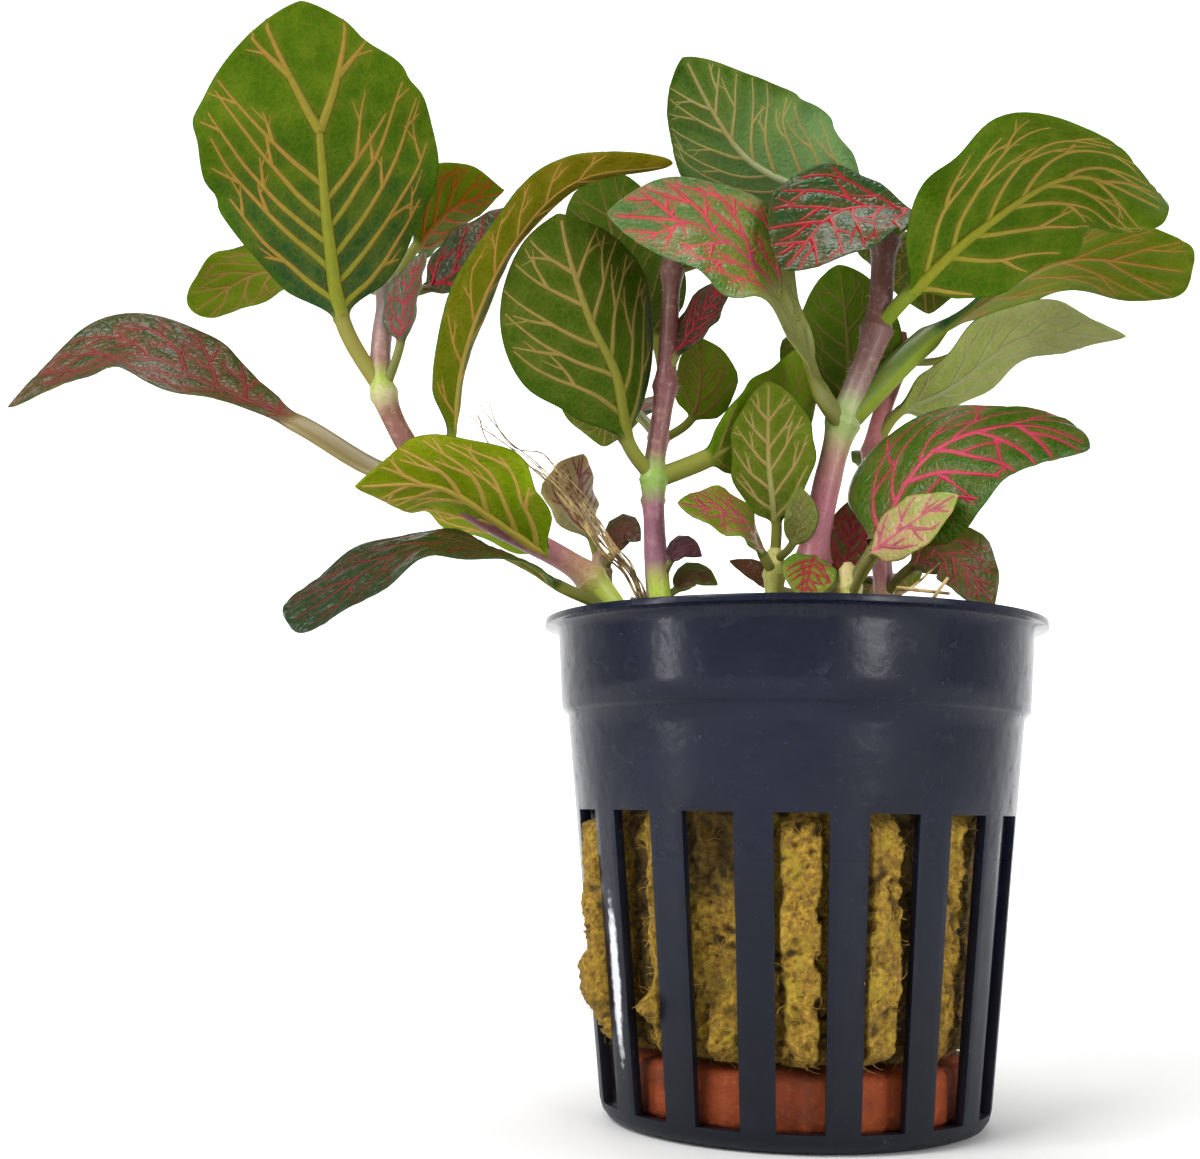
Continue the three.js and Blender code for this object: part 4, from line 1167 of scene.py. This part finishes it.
        "path": [[-14.5, 8.5, 69], [-11, 8.5, 71.5], [-9.8, 8, 75.5], [-10.5, 7, 80.5]],
        "facing": [65, 15], "width": 8,
    },
    "g1_up": {
        # its green is painted lighter than the leaf, as painted light that makes up for the shade it stands
        # in
        "seen": "upper", "green": [(166, 164, 114), (176, 166, 112)],
        "veinTint": [(170, 96, 88), (162, 84, 78)], "haze": 0.25,
        "path": [[-20, 4, 54], [-21, 4.6, 57.5], [-22.7, 4.8, 62], [-22.2, 4.8, 67]], "facing": [-25, 5],
        "width": 10.5, "folds": [-7, -7], "twist": -9, "lean": -0.1, "veinWidth": 1.6, "loops": 0.4,
    },
    "g1_small": {
        "seen": "upper", "slot": "leaf_small", "green": [(60, 70, 34), (70, 80, 40)],
        "veinTint": [(150, 80, 70), (140, 76, 66)],
        "path": [[-20, 4, 53.5], [-18.7, 2.8, 56], [-17.5, 2, 58.3], [-15.7, 1.5, 57]],
        "facing": [-115, 15], "width": 3.6,
    },
    "b0_dark": {
        "seen": "upper", "slot": "leaf_small", "green": [(54, 34, 36), (64, 44, 44)],
        "veinTint": [(110, 60, 70), (110, 60, 70)],
        "path": [[-13.3, -3, 51.5], [-12.2, -3.6, 54], [-11, -3.8, 55.5], [-9, -4, 54.5]],
        "facing": [-110, 15], "width": 2.4,
    },
    "b0_green": {
        "seen": "upper", "slot": "leaf_small", "green": [(60, 90, 30), (70, 104, 40)],
        "veinTint": [(110, 90, 60), (130, 80, 60)],
        "path": [[-13.2, -3, 50.5], [-11.8, -2, 51.3], [-10, -1.5, 53], [-7.5, -1.5, 52]],
        "facing": [-90, 30], "width": 3,
    },
    "c0_twig": {
        "seen": "upper", "slot": "leaf_small", "green": [(56, 42, 26), (70, 54, 30)],
        "veinTint": [(120, 70, 50), (120, 70, 50)],
        "path": [[2, -0.7, 51], [-1.2, 2, 52], [-4, 2.2, 54], [-6.5, 2.2, 55]], "facing": [-80, 15],
        "width": 2.4,
    },
    "c0_right": {
        "seen": "upper", "slot": "leaf_small", "green": [(66, 84, 34), (76, 96, 36)],
        "veinTint": [(196, 70, 90), (180, 60, 70)],
        "path": [[2, -0.7, 51], [4.8, 1.5, 53], [5.8, 2, 56.5], [6.3, 2, 61.5]], "facing": [-100, 10],
        "width": 6, "veinWidth": 1.6,
    },
    "h1_right": {
        "seen": "upper", "slot": "leaf_small", "green": [(84, 100, 36), (92, 112, 40)],
        "veinTint": [(130, 130, 60), (130, 120, 60)],
        "path": [[-1.8, -4.5, 53.8], [-0.1, -6.4, 55.2], [0.8, -7, 58], [0.6, -6.8, 61]],
        "facing": [-70, 5], "width": 3.6,
    },
    "b3_back": {
        "seen": "upper", "green": [(44, 84, 40), (58, 100, 48)],
        "veinTint": [(200, 62, 86), (186, 60, 70)],
        "path": [[-12.5, -1, 85], [-9, 2.5, 87.5], [-8, 10, 91], [-8.5, 17, 90.5]], "facing": [-90, 70],
        "width": 9, "folds": [12, 12], "cell": 0.5,
    },
    "c3_far": {
        "seen": "upper", "green": [(48, 90, 44), (60, 104, 50)],
        "veinTint": [(206, 60, 90), (196, 60, 76)],
        "path": [[9.5, 1, 88.5], [11, 7, 91], [14, 15, 93], [16, 25, 88]], "facing": [-95, 70],
        "width": 16, "folds": [12, 12], "veins": 6, "cell": 0.5,
    },
    "e2_back": {
        "seen": "upper", "green": [(50, 92, 44), (66, 108, 52)],
        "veinTint": [(206, 60, 90), (196, 60, 76)],
        "path": [[11.5, 10, 78], [9.5, 14, 80], [6, 20, 82], [3, 28, 78]], "facing": [-80, 65],
        "width": 15, "cell": 0.5,
    },
    "e1_back": {
        "seen": "upper", "green": [(48, 84, 38), (60, 98, 46)],
        "veinTint": [(210, 64, 96), (196, 60, 76)], "haze": 0.2,
        "path": [[8.5, 7, 67.5], [10.5, 13, 69], [13, 20, 69.5], [15, 28, 64]], "facing": [-110, 65],
        "width": 13, "cell": 0.5,
    },
    "e0_back": {
        "seen": "upper", "green": [(56, 74, 38), (62, 84, 44)],
        "veinTint": [(204, 70, 96), (190, 64, 80)], "haze": 0.3,
        "path": [[9.5, 7, 52], [9.5, 12, 54], [9, 19, 55.5], [8, 28, 52]], "facing": [-90, 70],
        "width": 12, "folds": [8, 8], "cell": 0.5,
    },
    "f2_back": {
        "seen": "upper", "green": [(46, 86, 42), (60, 100, 46)],
        "veinTint": [(206, 60, 90), (196, 60, 76)],
        "path": [[-14.5, 8.5, 69.5], [-17, 13, 73], [-21, 21, 76.5], [-23, 30, 73.5]],
        "facing": [-80, 70], "width": 13, "cell": 0.5,
    },
    "f0_back": {
        "seen": "upper", "green": [(60, 78, 40), (58, 84, 42)],
        "veinTint": [(204, 70, 96), (190, 64, 80)], "haze": 0.25,
        "path": [[-14.5, 8, 51.5], [-13.5, 13, 52], [-13, 20, 52.5], [-13, 28, 50.5]],
        "facing": [-90, 75], "width": 11, "folds": [6, 6], "cell": 0.5,
    },
}
blade = {
    "thickness": 0.36, "upperHeight": 0.16, "underHeight": 0.5, "proud": 0.03, "sunk": 0.15,
    "groove": 0.12, "grooveReach": 0.4, "puffReach": 0.9, "netDepth": 0.25, "marginFlat": 1.5,
    "wave": 0.035, "waves": 19, "liftPower": 1.4, "stalkBlend": 0.12, "stalkRadius": (0.34, 0.02),
    "bareBlend": 0.06, "curlFrom": 0.8, "tip": 0.02, "netFaint": 0.6, "veinSides": 5,
    "stalkRings": 8, "cadStep": 3.2,
}
# colours of a face that the photo doesn't show: blade low and high, veins thick and thin
plainColours = {
    "upper": [(34, 82, 34), (46, 102, 42), (200, 62, 86), (180, 60, 66)],
    "under": [(62, 92, 30), (84, 108, 20), (128, 130, 45), (150, 125, 60)],
}


def outlineWidth(share, leaf):
    # half width of a blade of width 2 at a share of its length
    share = np.clip(share, 0.0005, 0.9995)
    bulge = math.log(0.5) / math.log(leaf["widest"])
    return np.sin(math.pi * share ** bulge) ** (0.6 + (leaf["point"] - 0.6) * share)


def halfWidth(share, leaf, side):
    # side is 1 for the right half and -1 for the left
    half = leaf["width"] / 2 * outlineWidth(share, leaf) * (1 + side * leaf["lean"])
    for notchSide, place, depth, length in leaf["notches"]:
        if notchSide == side:
            half = half * (1 - depth * np.exp(-((share - place) / length) ** 2))
    if leaf["neck"]:
        half = half * (0.38 + 0.62 * smoothStep((share - leaf["neck"]) / 0.25))
    return np.maximum(half, 0.05)


def bothHalves(share, leaf, across):
    # half widths at the shares, for the side that each across value lies on
    return np.where(across < 0, halfWidth(share, leaf, -1), halfWidth(share, leaf, 1))


def carriedFrames(points, middle, facing):
    # directions ahead and out of the upper face, carried along from the middle row
    ahead = np.gradient(points, axis=0)
    ahead /= np.linalg.norm(ahead, axis=1)[:, None]
    azimuth, elevation = np.radians(facing)
    look = np.array([math.cos(elevation) * math.cos(azimuth), math.cos(elevation) * math.sin(azimuth),
                     math.sin(elevation)])
    face = np.zeros_like(points)
    for i in [*range(middle, len(points)), *range(middle - 1, -1, -1)]:
        if i == middle:
            source = look
        else:
            source = face[i - 1] if i > middle else face[i + 1]
        flat = source - ahead[i] * source.dot(ahead[i])
        face[i] = flat / np.linalg.norm(flat)
    return ahead, face


# Veins: lengths are shares of the leaf's width, radii are in mm plus a share of that width

veins = {
    "step": 0.04, "ribRadius": (0.12, 0.03), "ribBow": 0.012, "ribPoints": 30,
    "sideRadius": (0.1, 0.009), "sideReach": 0.8, "sideBend": 0.025, "taper": 0.3,
    "stray": 0.12, "twigBend": 0.045, "twigTaper": 0.5, "forkHeading": 0.52, "forkRadius": 0.6,
    # side veins leave at these degrees, less towards the tip, and a little out of step
    "sideHeading": (50, 56), "headingLoss": 12, "stagger": 0.3, "uneven": 0.25,
    # a vein stops by the margin (share of the half width, mm), at the tip and next to another vein
    "marginStop": (0.1, 0.2), "tipStop": 0.97, "nearStop": 0.8,
}
# twigs: first place on the parent, gap in steps, reach, spread from the parent's heading, radius
twigs = {
    "fork": (0.48, 6.5, 0.3, (0.5, 0.65), 1), "forkTwig": (0.5, 5, 0.12, (0.5, 0.65), 0.5),
    "side": (0.3, 3.6, 0.3, (0.6, 0.9), 0.9), "sideNet": (0.4, 3, 0.12, (0.6, 1), 0.4),
    "net": (0.15, 3.4, 0.3, (0.9, 1.3), 0.45),
}


def veinTree(leaf, length, rng):
    # main veins and net veins, each a list of (points, radii) on the flat leaf
    width = leaf["width"]
    step = veins["step"] * width
    ribRadius = veins["ribRadius"][0] + veins["ribRadius"][1] * width
    sideRadius = veins["sideRadius"][0] + veins["sideRadius"][1] * width
    marginShare, marginGap = veins["marginStop"]
    main, net, taken = [], [], []

    def addLine(target, line, first, last):
        target.append((line, np.linspace(first, last, len(line))))
        taken.extend(line)

    def walk(start, heading, side, reach, bend, parent):
        # walks over the leaf until it meets another vein, the midrib or the margin
        line = [start]
        others = np.array([point for point in taken if point not in parent] or [(-99, 0)])
        while len(line) * step < reach:
            s, t = line[-1]
            half = float(halfWidth(s / length, leaf, side))
            atMargin = half - side * t < marginShare * half + marginGap
            if atMargin or s > veins["tipStop"] * length or s < 0:
                break
            heading -= bend
            bent = heading + rng.uniform(-veins["stray"], veins["stray"])
            line.append((s + step * math.cos(bent), t + side * step * math.sin(bent)))
            nearest = np.hypot(*(others - line[-1]).T).min()
            if len(line) > 3 and nearest < veins["nearStop"] * step:
                break
        line = np.array(line)
        for smoothing in range(2):
            line[1:-1] = (line[:-2] + 2 * line[1:-1] + line[2:]) / 4
        return [tuple(point) for point in line]

    def growTwigs(kind, target, parent, side, radius, gapShare=1):
        # shorter veins that leave a parent on both sides in turn
        first, gap, reach, spread, radiusShare = twigs[kind]
        turn = rng.choice((-1, 1))
        spot = first * len(parent)
        while spot < len(parent) - 1:
            k = int(spot)
            ahead = (parent[k + 1][0] - parent[k][0], side * (parent[k + 1][1] - parent[k][1]))
            heading = math.atan2(ahead[1], ahead[0]) + turn * rng.uniform(*spread)
            far = reach * width * rng.uniform(0.7, 1.2)
            line = walk(parent[k], heading, side, far, turn * veins["twigBend"], set(parent))
            if len(line) > 2:
                size = radius * radiusShare * (1 - veins["twigTaper"] * k / len(parent))
                addLine(target, line, size, veins["taper"] * size)
                yield line
            turn = -turn
            spot += gap / gapShare * rng.uniform(0.7, 1.3)

    ribEnd = leaf["ribEnd"]
    rib = [(length * share, veins["ribBow"] * width * math.sin(5 * share))
           for share in np.linspace(-0.05, ribEnd, veins["ribPoints"])]
    addLine(main, rib, ribRadius, max(0.2, 1 - ribEnd) * 1.1 * ribRadius)
    pairs, loops = leaf["veins"], leaf["loops"]
    for side in (1, -1):
        starts = []
        for i in range(pairs):
            spot = i + (veins["stagger"] if side > 0 else 0) + rng.uniform(0, veins["uneven"])
            share = 0.02 + (ribEnd - 0.15) * spot / pairs
            heading = rng.uniform(*veins["sideHeading"]) - veins["headingLoss"] * share
            starts.append(((share * length, 0), math.radians(heading), sideRadius * (1.1 - 0.25 * share)))
        if ribEnd < 0.9:
            starts.append((rib[-1], veins["forkHeading"], veins["forkRadius"] * ribRadius))
        runs = []
        for start, heading, radius in starts:
            line = walk(start, heading, side, veins["sideReach"] * width, veins["sideBend"], set(rib))
            addLine(main, line, radius, veins["taper"] * radius)
            runs.append((line, radius))
        for line, radius in runs:
            if leaf["seen"] == "under":
                for fork in growTwigs("fork", main, line, side, radius):
                    list(growTwigs("forkTwig", main, fork, side, radius))
                continue
            for twig in growTwigs("side", main, line, side, radius, loops):
                if loops > 0.7:
                    list(growTwigs("sideNet", net, twig, side, radius))
        if leaf["seen"] == "upper" and loops > 0.7:
            for line, radius in runs:
                list(growTwigs("net", net, line, side, radius))
    return main, net


def veinGaps(spots, lines):
    # distance from each spot to the nearest vein's edge
    gap = np.full(len(spots), 9.0)
    for line, radii in lines:
        line = np.array(line)
        for k in range(len(line) - 1):
            run = line[k + 1] - line[k]
            share = np.clip((spots - line[k]) @ run / max(run @ run, 1e-6), 0, 1)
            away = np.linalg.norm(spots - line[k] - share[:, None] * run, axis=1)
            gap = np.minimum(gap, away - radii[k])
    return gap


def bareShare(leaf, share):
    # 1 on the bare stalk and 0 on the blade
    return 1 - smoothStep((share - leaf["bareTo"]) / blade["bareBlend"] + 0.5)


def surfaceSpot(grid, row, column):
    # a grid's value between its rows and columns
    i = np.clip(np.floor(row).astype(int), 0, grid.shape[0] - 2)
    k = np.clip(np.floor(column).astype(int), 0, grid.shape[1] - 2)
    a, b = (row - i)[:, None], (column - k)[:, None]
    near = grid[i, k] * (1 - b) + grid[i, k + 1] * b
    far = grid[i + 1, k] * (1 - b) + grid[i + 1, k + 1] * b
    return near * (1 - a) + far * a


def veinLines(leaf, main, net, length, shares, v, top, under, over):
    # the vein lines, laid on both faces of the blade
    rowNumbers = np.arange(len(top) - len(shares), len(top))
    lines = []
    for upper, grid in ((True, top), (False, under)):
        seen = upper == (leaf["seen"] == "upper")
        for number, (line, radii) in enumerate(main + (net if seen else [])):
            line = np.array(line)
            place = np.clip(line[:, 0] / length, 0.0, 1)
            sides = bothHalves(place, leaf, line[:, 1])
            row = np.interp(place, shares, rowNumbers)
            column = np.interp(np.clip(line[:, 1] / sides, -1, 1), v, np.arange(len(v)))
            normal = surfaceSpot(over, row, column)
            if seen:
                radii = radii * (leaf["veinWidth"] if number else 1 + 0.6 * (leaf["veinWidth"] - 1))
            height = radii * blade["upperHeight" if upper else "underHeight"]
            # tubes stand just proud of the upper face, and never come through the other one
            out = np.minimum(blade["proud"] - height, 0) if upper else np.maximum(height - blade["sunk"], 0)
            blend = smoothStep(place / blade["stalkBlend"])
            out = out * blend - height * (1 - blend)
            spot = surfaceSpot(grid, row, column) + normal * (out * (1 if upper else -1))[:, None]
            faint = blade["netFaint"] if number >= len(main) and not upper else 0
            flat = np.column_stack([line, place])
            lines.append((spot, radii, normal, upper, flat, bareShare(leaf, place), faint))
    return lines


def leafRows(leaf, cell):
    # rows of points on the stalk and the midrib, with the length of each
    dense = splinePoints(leaf["path"])
    split = leaf["stalkSteps"] * stepParts
    stalkRows = blade["stalkRings"] * leaf["stalkSteps"]
    stalkShares = np.arange(stalkRows) / stalkRows
    stalk, stalkLength = evenPoints(dense[:split + 1], stalkShares)
    length = evenPoints(dense[split:], [0])[1]
    # rows stand closer towards both ends of the blade
    x = np.linspace(0, 1, max(16, round(length / cell)))
    shares = x - 0.1 * np.sin(2 * math.pi * x)
    points = np.vstack([stalk, evenPoints(dense[split:], shares)[0]])
    along = np.concatenate([(stalkShares - 1) * stalkLength, shares * length])
    return points, shares, along, length


def leafMiddle(leaf, shares):
    # the row at the CAD's middle row, where its upper face is set
    cadLength = math.dist(leaf["path"][leaf["stalkSteps"]], leaf["path"][-1])
    cadRows = min(10, max(5, math.floor(cadLength / blade["cadStep"] + 0.5)))
    middleShare = (1 - math.cos(math.pi * math.floor(cadRows / 2 + 0.5) / cadRows)) / 2
    return int(np.abs(shares - middleShare).argmin())


def leafShape(leaf, seed):
    cell = leaf["cell"] * 1
    points, shares, along, length = leafRows(leaf, cell)
    stalkRows = len(points) - len(shares)
    share = np.concatenate([np.zeros(stalkRows), shares])
    curled = np.clip((share - blade["curlFrom"]) / (1 - blade["curlFrom"]), 0, 1)
    points[:, 2] -= leaf["curl"] * curled ** 2
    ahead, face = carriedFrames(points, stalkRows + leafMiddle(leaf, shares), leaf["facing"])
    turn = np.radians(leaf["twist"]) * (share - 0.5)
    right = np.cross(ahead, face)
    face = face * np.cos(turn)[:, None] + right * np.sin(turn)[:, None]
    right = np.cross(ahead, face)

    # v runs across the blade, from -1 at the left margin to 1 at the right, closer at both
    x = np.linspace(-1, 1, max(13, round(leaf["width"] / cell)) | 1)
    v = x * (1.3 - 0.3 * x * x)
    fold = np.radians(np.where(v < 0, leaf["folds"][1], leaf["folds"][0]))
    half = bothHalves(share[:, None], leaf, v[None, :])
    phase = blade["waves"] * share[:, None] + 3 * (v < 0) + leaf["width"]
    wave = blade["wave"] * leaf["width"] * v * v * np.sin(phase)
    lift = half * np.sin(fold) * np.abs(v) ** blade["liftPower"]
    lift = lift + wave * np.sin(math.pi * share)[:, None]
    slope = (fold * np.abs(v) ** 0.5 * np.sign(v))[None, :, None]
    over = face[:, None, :] * np.cos(slope) - right[:, None, :] * np.sin(slope)
    across = v[None, :] * half
    sheet = points[:, None, :] + right[:, None, :] * (across * np.cos(fold))[:, :, None]
    sheet = sheet + face[:, None, :] * lift[:, :, None]
    for smoothing in range(leaf["relax"]):
        soft = (sheet[:-2] + sheet[2:]) / 2 - sheet[1:-1]
        sheet[1:-1] += 0.5 * soft * np.abs(v)[None, :, None]

    # veins are drawn on the flat leaf
    shape = across.shape
    flat = np.stack([np.broadcast_to(along[:, None], shape), across], axis=-1)
    main, net = veinTree(leaf, length, random.Random(seed))
    gap = veinGaps(flat.reshape(-1, 2), main).reshape(shape)
    netGap = veinGaps(flat.reshape(-1, 2), net).reshape(shape)

    # cells puff up between the veins, and the blade thins out at its margin and tip
    margin = (1 - np.abs(v))[None, :] * half
    room = np.clip(np.minimum(gap, netGap + blade["netDepth"]), 0, None)
    puff = leaf["quilt"] * (1 - np.exp(-(room / blade["puffReach"]) ** 2))
    puff = puff * smoothStep(margin / blade["marginFlat"])
    groove = blade["groove"] * np.exp(-(np.clip(gap, 0, None) / blade["grooveReach"]) ** 2)
    thick = blade["thickness"] / 2 * np.sqrt(np.clip(1 - np.abs(v) ** 10, 0, 1))[None, :]
    thick = thick * np.minimum(1, np.sqrt(np.clip((1 - share) / blade["tip"], 0.02, 1)))[:, None]
    top = sheet + over * (puff + thick - groove)[:, :, None]
    under = sheet + over * (puff - thick)[:, :, None]

    # round stalk, blended into the blade over its first part
    stalkRadius = blade["stalkRadius"][0] + blade["stalkRadius"][1] * leaf["width"]
    wide, tall = [stalkRadius * size for size in leaf["stalkSize"]]
    angle = np.arccos(np.clip(v, -1, 1))
    ring = points[:, None, :] + right[:, None, :] * (wide * np.cos(angle))[None, :, None]
    rise = face[:, None, :] * (tall * np.sin(angle))[None, :, None]
    spread = smoothStep(share / blade["stalkBlend"])[:, None, None]
    top = (ring + rise) * (1 - spread) + top * spread
    under = (ring - rise) * (1 - spread) + under * spread

    full = np.broadcast_to(share[:, None, None], (*shape, 1))
    values = {
        "veinGap": gap, "netGap": netGap, "edge": margin + 3 * (1 - spread[:, :, 0]),
        "flat": np.concatenate([flat, full], axis=-1),
        "bare": np.broadcast_to(bareShare(leaf, share)[:, None], shape),
    }
    return top, under, values, veinLines(leaf, main, net, length, shares, v, top, under, over)


def faceColours(leaf, face):
    # blade low and high, veins thick and thin
    return leaf["green"] + leaf["veinTint"] if face == leaf["seen"] else plainColours[face]


def blended(first, second, share):
    return np.array(tint(*first)[:3]) * (1 - share) + np.array(tint(*second)[:3]) * share


def lineObject(name, leaf, lines):
    points, edges, fields = [], [], {}
    for spots, radii, normals, upper, flats, bare, faint in lines:
        start = len(points)
        edges += [(start + k, start + k + 1) for k in range(len(spots) - 1)]
        points += spots.tolist()
        low, high, thick, thin = faceColours(leaf, "upper" if upper else "under")
        count = len(spots)
        fill = {
            "thick": radii * mm, "over": normals, "above": np.full(count, float(upper)), "flat": flats,
            "bare": bare, "ruddy": np.full(count, leaf["ruddy"]),
            "lowColour": np.tile(blended(thick, low, faint), (count, 1)),
            "highColour": np.tile(blended(thin, high, faint), (count, 1)),
        }
        for label, values in fill.items():
            fields.setdefault(label, []).append(values)
    holder = makeObject(name, points, edges, [])
    for label, values in fields.items():
        giveValues(holder.data, label, np.concatenate(values))
    return holder


def buildLeaf(name, leaf, skins, tree, seed):
    top, under, values, lines = leafShape(leaf, seed)
    rows, columns = top.shape[:2]
    ringSize = 2 * columns - 2

    def wholeRings(upper, lower):
        # each ring runs over the upper face, then back underneath
        both = np.concatenate([upper, lower[:, -2:0:-1]], axis=1)
        return both.reshape(-1) if both.ndim == 2 else both.reshape(-1, 3)

    faces = ringFaces(range(0, rows * ringSize, ringSize), ringSize, (0, (rows - 1) * ringSize))
    skinSet = [skins[label] for label in ("leaf upper", "leaf under")]
    piece = makeObject("blade_" + name, wholeRings(top, under), [], faces, skinSet)
    mesh = piece.data
    isUnder = np.tile(np.arange(ringSize) >= columns - 1, rows - 1)
    mesh.polygons.foreach_set("material_index", isUnder.astype(int).tolist() + [0, 0])
    for label, value in values.items():
        giveValues(mesh, label, wholeRings(value, value))
    isTop = np.tile(np.arange(ringSize) < columns, rows)[:, None]
    upperSet, underSet = faceColours(leaf, "upper"), faceColours(leaf, "under")
    for label, k in (("lowColour", 0), ("highColour", 1), ("glowColour", 3)):
        giveValues(mesh, label, np.where(isTop, tint(*upperSet[k])[:3], tint(*underSet[k])[:3]))
    for label in ("haze", "ruddy"):
        giveValues(mesh, label, np.full(len(mesh.vertices), leaf[label]))
    facingOut(piece)
    smooth(piece)
    holder = lineObject("lines_" + name, leaf, lines)
    grow(piece, tree, {
        "Lines": holder, "Sides": blade["veinSides"], "Upper height": blade["upperHeight"],
        "Under height": blade["underHeight"], "Upper skin": skins["vein upper"],
        "Under skin": skins["vein under"],
    })
    bpy.data.objects.remove(holder)
    handOver(piece, leaf["slot"], "leaf_" + name)


def buildLeaves():
    skins = {"leaf " + face: leafFace(face) for face in ("upper", "under")}
    skins.update({"vein " + face: veinSkin(face) for face in ("upper", "under")})
    tree = veinTubes()
    for number, (name, values) in enumerate(leaves.items()):
        buildLeaf(name, {**leafDefaults, **values}, skins, tree, 11 + number)


# Studio

studio = {
    "floorRings": (1, 300, 900), "bowlRadius": 1400, "bowlHeight": 900, "bowlRings": 12, "columns": 96,
    "paper": [(246, 246, 246), (250, 250, 250)], "paperPatch": 40, "skyPower": 0.2,
}
camera = {
    "place": (0, -165, 29), "pitch": 8.12, "yaw": -6.8, "roll": 0.94,
    "lens": 49.02, "sensor": 36, "nearest": 10,
}
lights = [
    {"name": "keyLight", "place": (-350, -420, 520), "aim": (0, 0, 60), "size": (300, 300), "power": 3.2},
    {"name": "fillLight", "place": (480, -380, 260), "aim": (0, 0, 60), "size": (400, 400), "power": 1},
    {"name": "topLight", "place": (0, 120, 700), "aim": (0, 0, 60), "size": (400, 400), "power": 2.6},
    {"name": "leftStrip", "place": (-560, -330, 160), "aim": (0, 0, 40), "size": (50, 340), "power": 1.2},
    {"name": "rightStrip", "place": (420, -560, 160), "aim": (0, 0, 40), "size": (130, 300), "power": 1.4},
    {"name": "backdropLight", "place": (0, 420, 620), "aim": (0, 1300, 200), "size": (800, 800),
     "power": 14},
]


def buildFloor():
    # a flat floor that curves up into a bowl all round
    columns, flatRadius = studio["columns"], studio["floorRings"][-1]
    rings = [(radius, 0) for radius in studio["floorRings"]]
    for k in range(1, studio["bowlRings"] + 1):
        angle = math.pi / 2 * k / studio["bowlRings"]
        rings.append((flatRadius + (studio["bowlRadius"] - flatRadius) * math.sin(angle),
                      studio["bowlHeight"] * (1 - math.cos(angle))))
    points = [around(radius, 2 * math.pi * k / columns, height)
              for radius, height in rings for k in range(columns)]
    starts = range(0, len(points), columns)
    material, wire, place = newMaterial("floorPaper")
    dull, bright = [tint(*shade) for shade in studio["paper"]]
    colour = place.noise(studio["paperPatch"], 2).mix(dull, bright)
    finishMaterial(wire, {"Base Color": colour, "Roughness": 0.8})
    floor = makeObject("floor", points, [], ringFaces(starts, columns, starts[:1]), [material])
    smooth(floor)


def buildLights():
    world = bpy.data.worlds.new("studio")
    world.use_nodes = True
    sky = world.node_tree.nodes["Background"]
    sky.inputs["Color"].default_value = (1, 1, 1, 1)
    sky.inputs["Strength"].default_value = studio["skyPower"]
    bpy.context.scene.world = world
    bpy.context.scene.view_settings.view_transform = "Standard"
    for values in lights:
        lamp = bpy.data.lights.new(values["name"], "AREA")
        lamp.energy = values["power"]
        lamp.shape = "RECTANGLE"
        lamp.size, lamp.size_y = [side * mm for side in values["size"]]
        holder = bpy.data.objects.new(values["name"], lamp)
        place = Vector(values["place"]) * mm
        aim = Vector(values["aim"]) * mm - place
        holder.location = place
        holder.rotation_euler = aim.to_track_quat("-Z", "Y").to_euler()
        bpy.context.scene.collection.objects.link(holder)


def placeCamera():
    pitch, yaw, roll = [math.radians(camera[key]) for key in ("pitch", "yaw", "roll")]
    ahead = Vector((math.sin(yaw) * math.cos(pitch), math.cos(yaw) * math.cos(pitch), math.sin(pitch)))
    right = Vector((math.cos(yaw), -math.sin(yaw), 0))
    up = right.cross(ahead)
    side = right * math.cos(roll) + up * math.sin(roll)
    up = up * math.cos(roll) - right * math.sin(roll)
    lens = bpy.data.cameras.new("photoCamera")
    lens.lens = camera["lens"]
    lens.sensor_width = camera["sensor"]
    lens.clip_start = camera["nearest"] * mm
    holder = bpy.data.objects.new("photoCamera", lens)
    turn = Matrix((side, up, -ahead)).transposed().to_4x4()
    holder.matrix_world = Matrix.Translation(Vector(camera["place"]) * mm) @ turn
    bpy.context.scene.collection.objects.link(holder)
    bpy.context.scene.camera = holder


print("pot, clay and wool")
buildPot()
buildClay()
buildFibres(buildWool(), fibreTree())
print("stems and dry strands")
tubes = tubeTree()
down = strandSkin("stemDown", tint(190, 160, 150), tint(214, 196, 188))
straw = strandSkin("dryStraw", tint(104, 78, 44), tint(206, 180, 120))
buildStems(tubes, stemSkin(), down)
buildDryRoots(tubes, straw)
print("leaves")
buildLeaves()
print("studio")
buildFloor()
buildLights()
placeCamera()
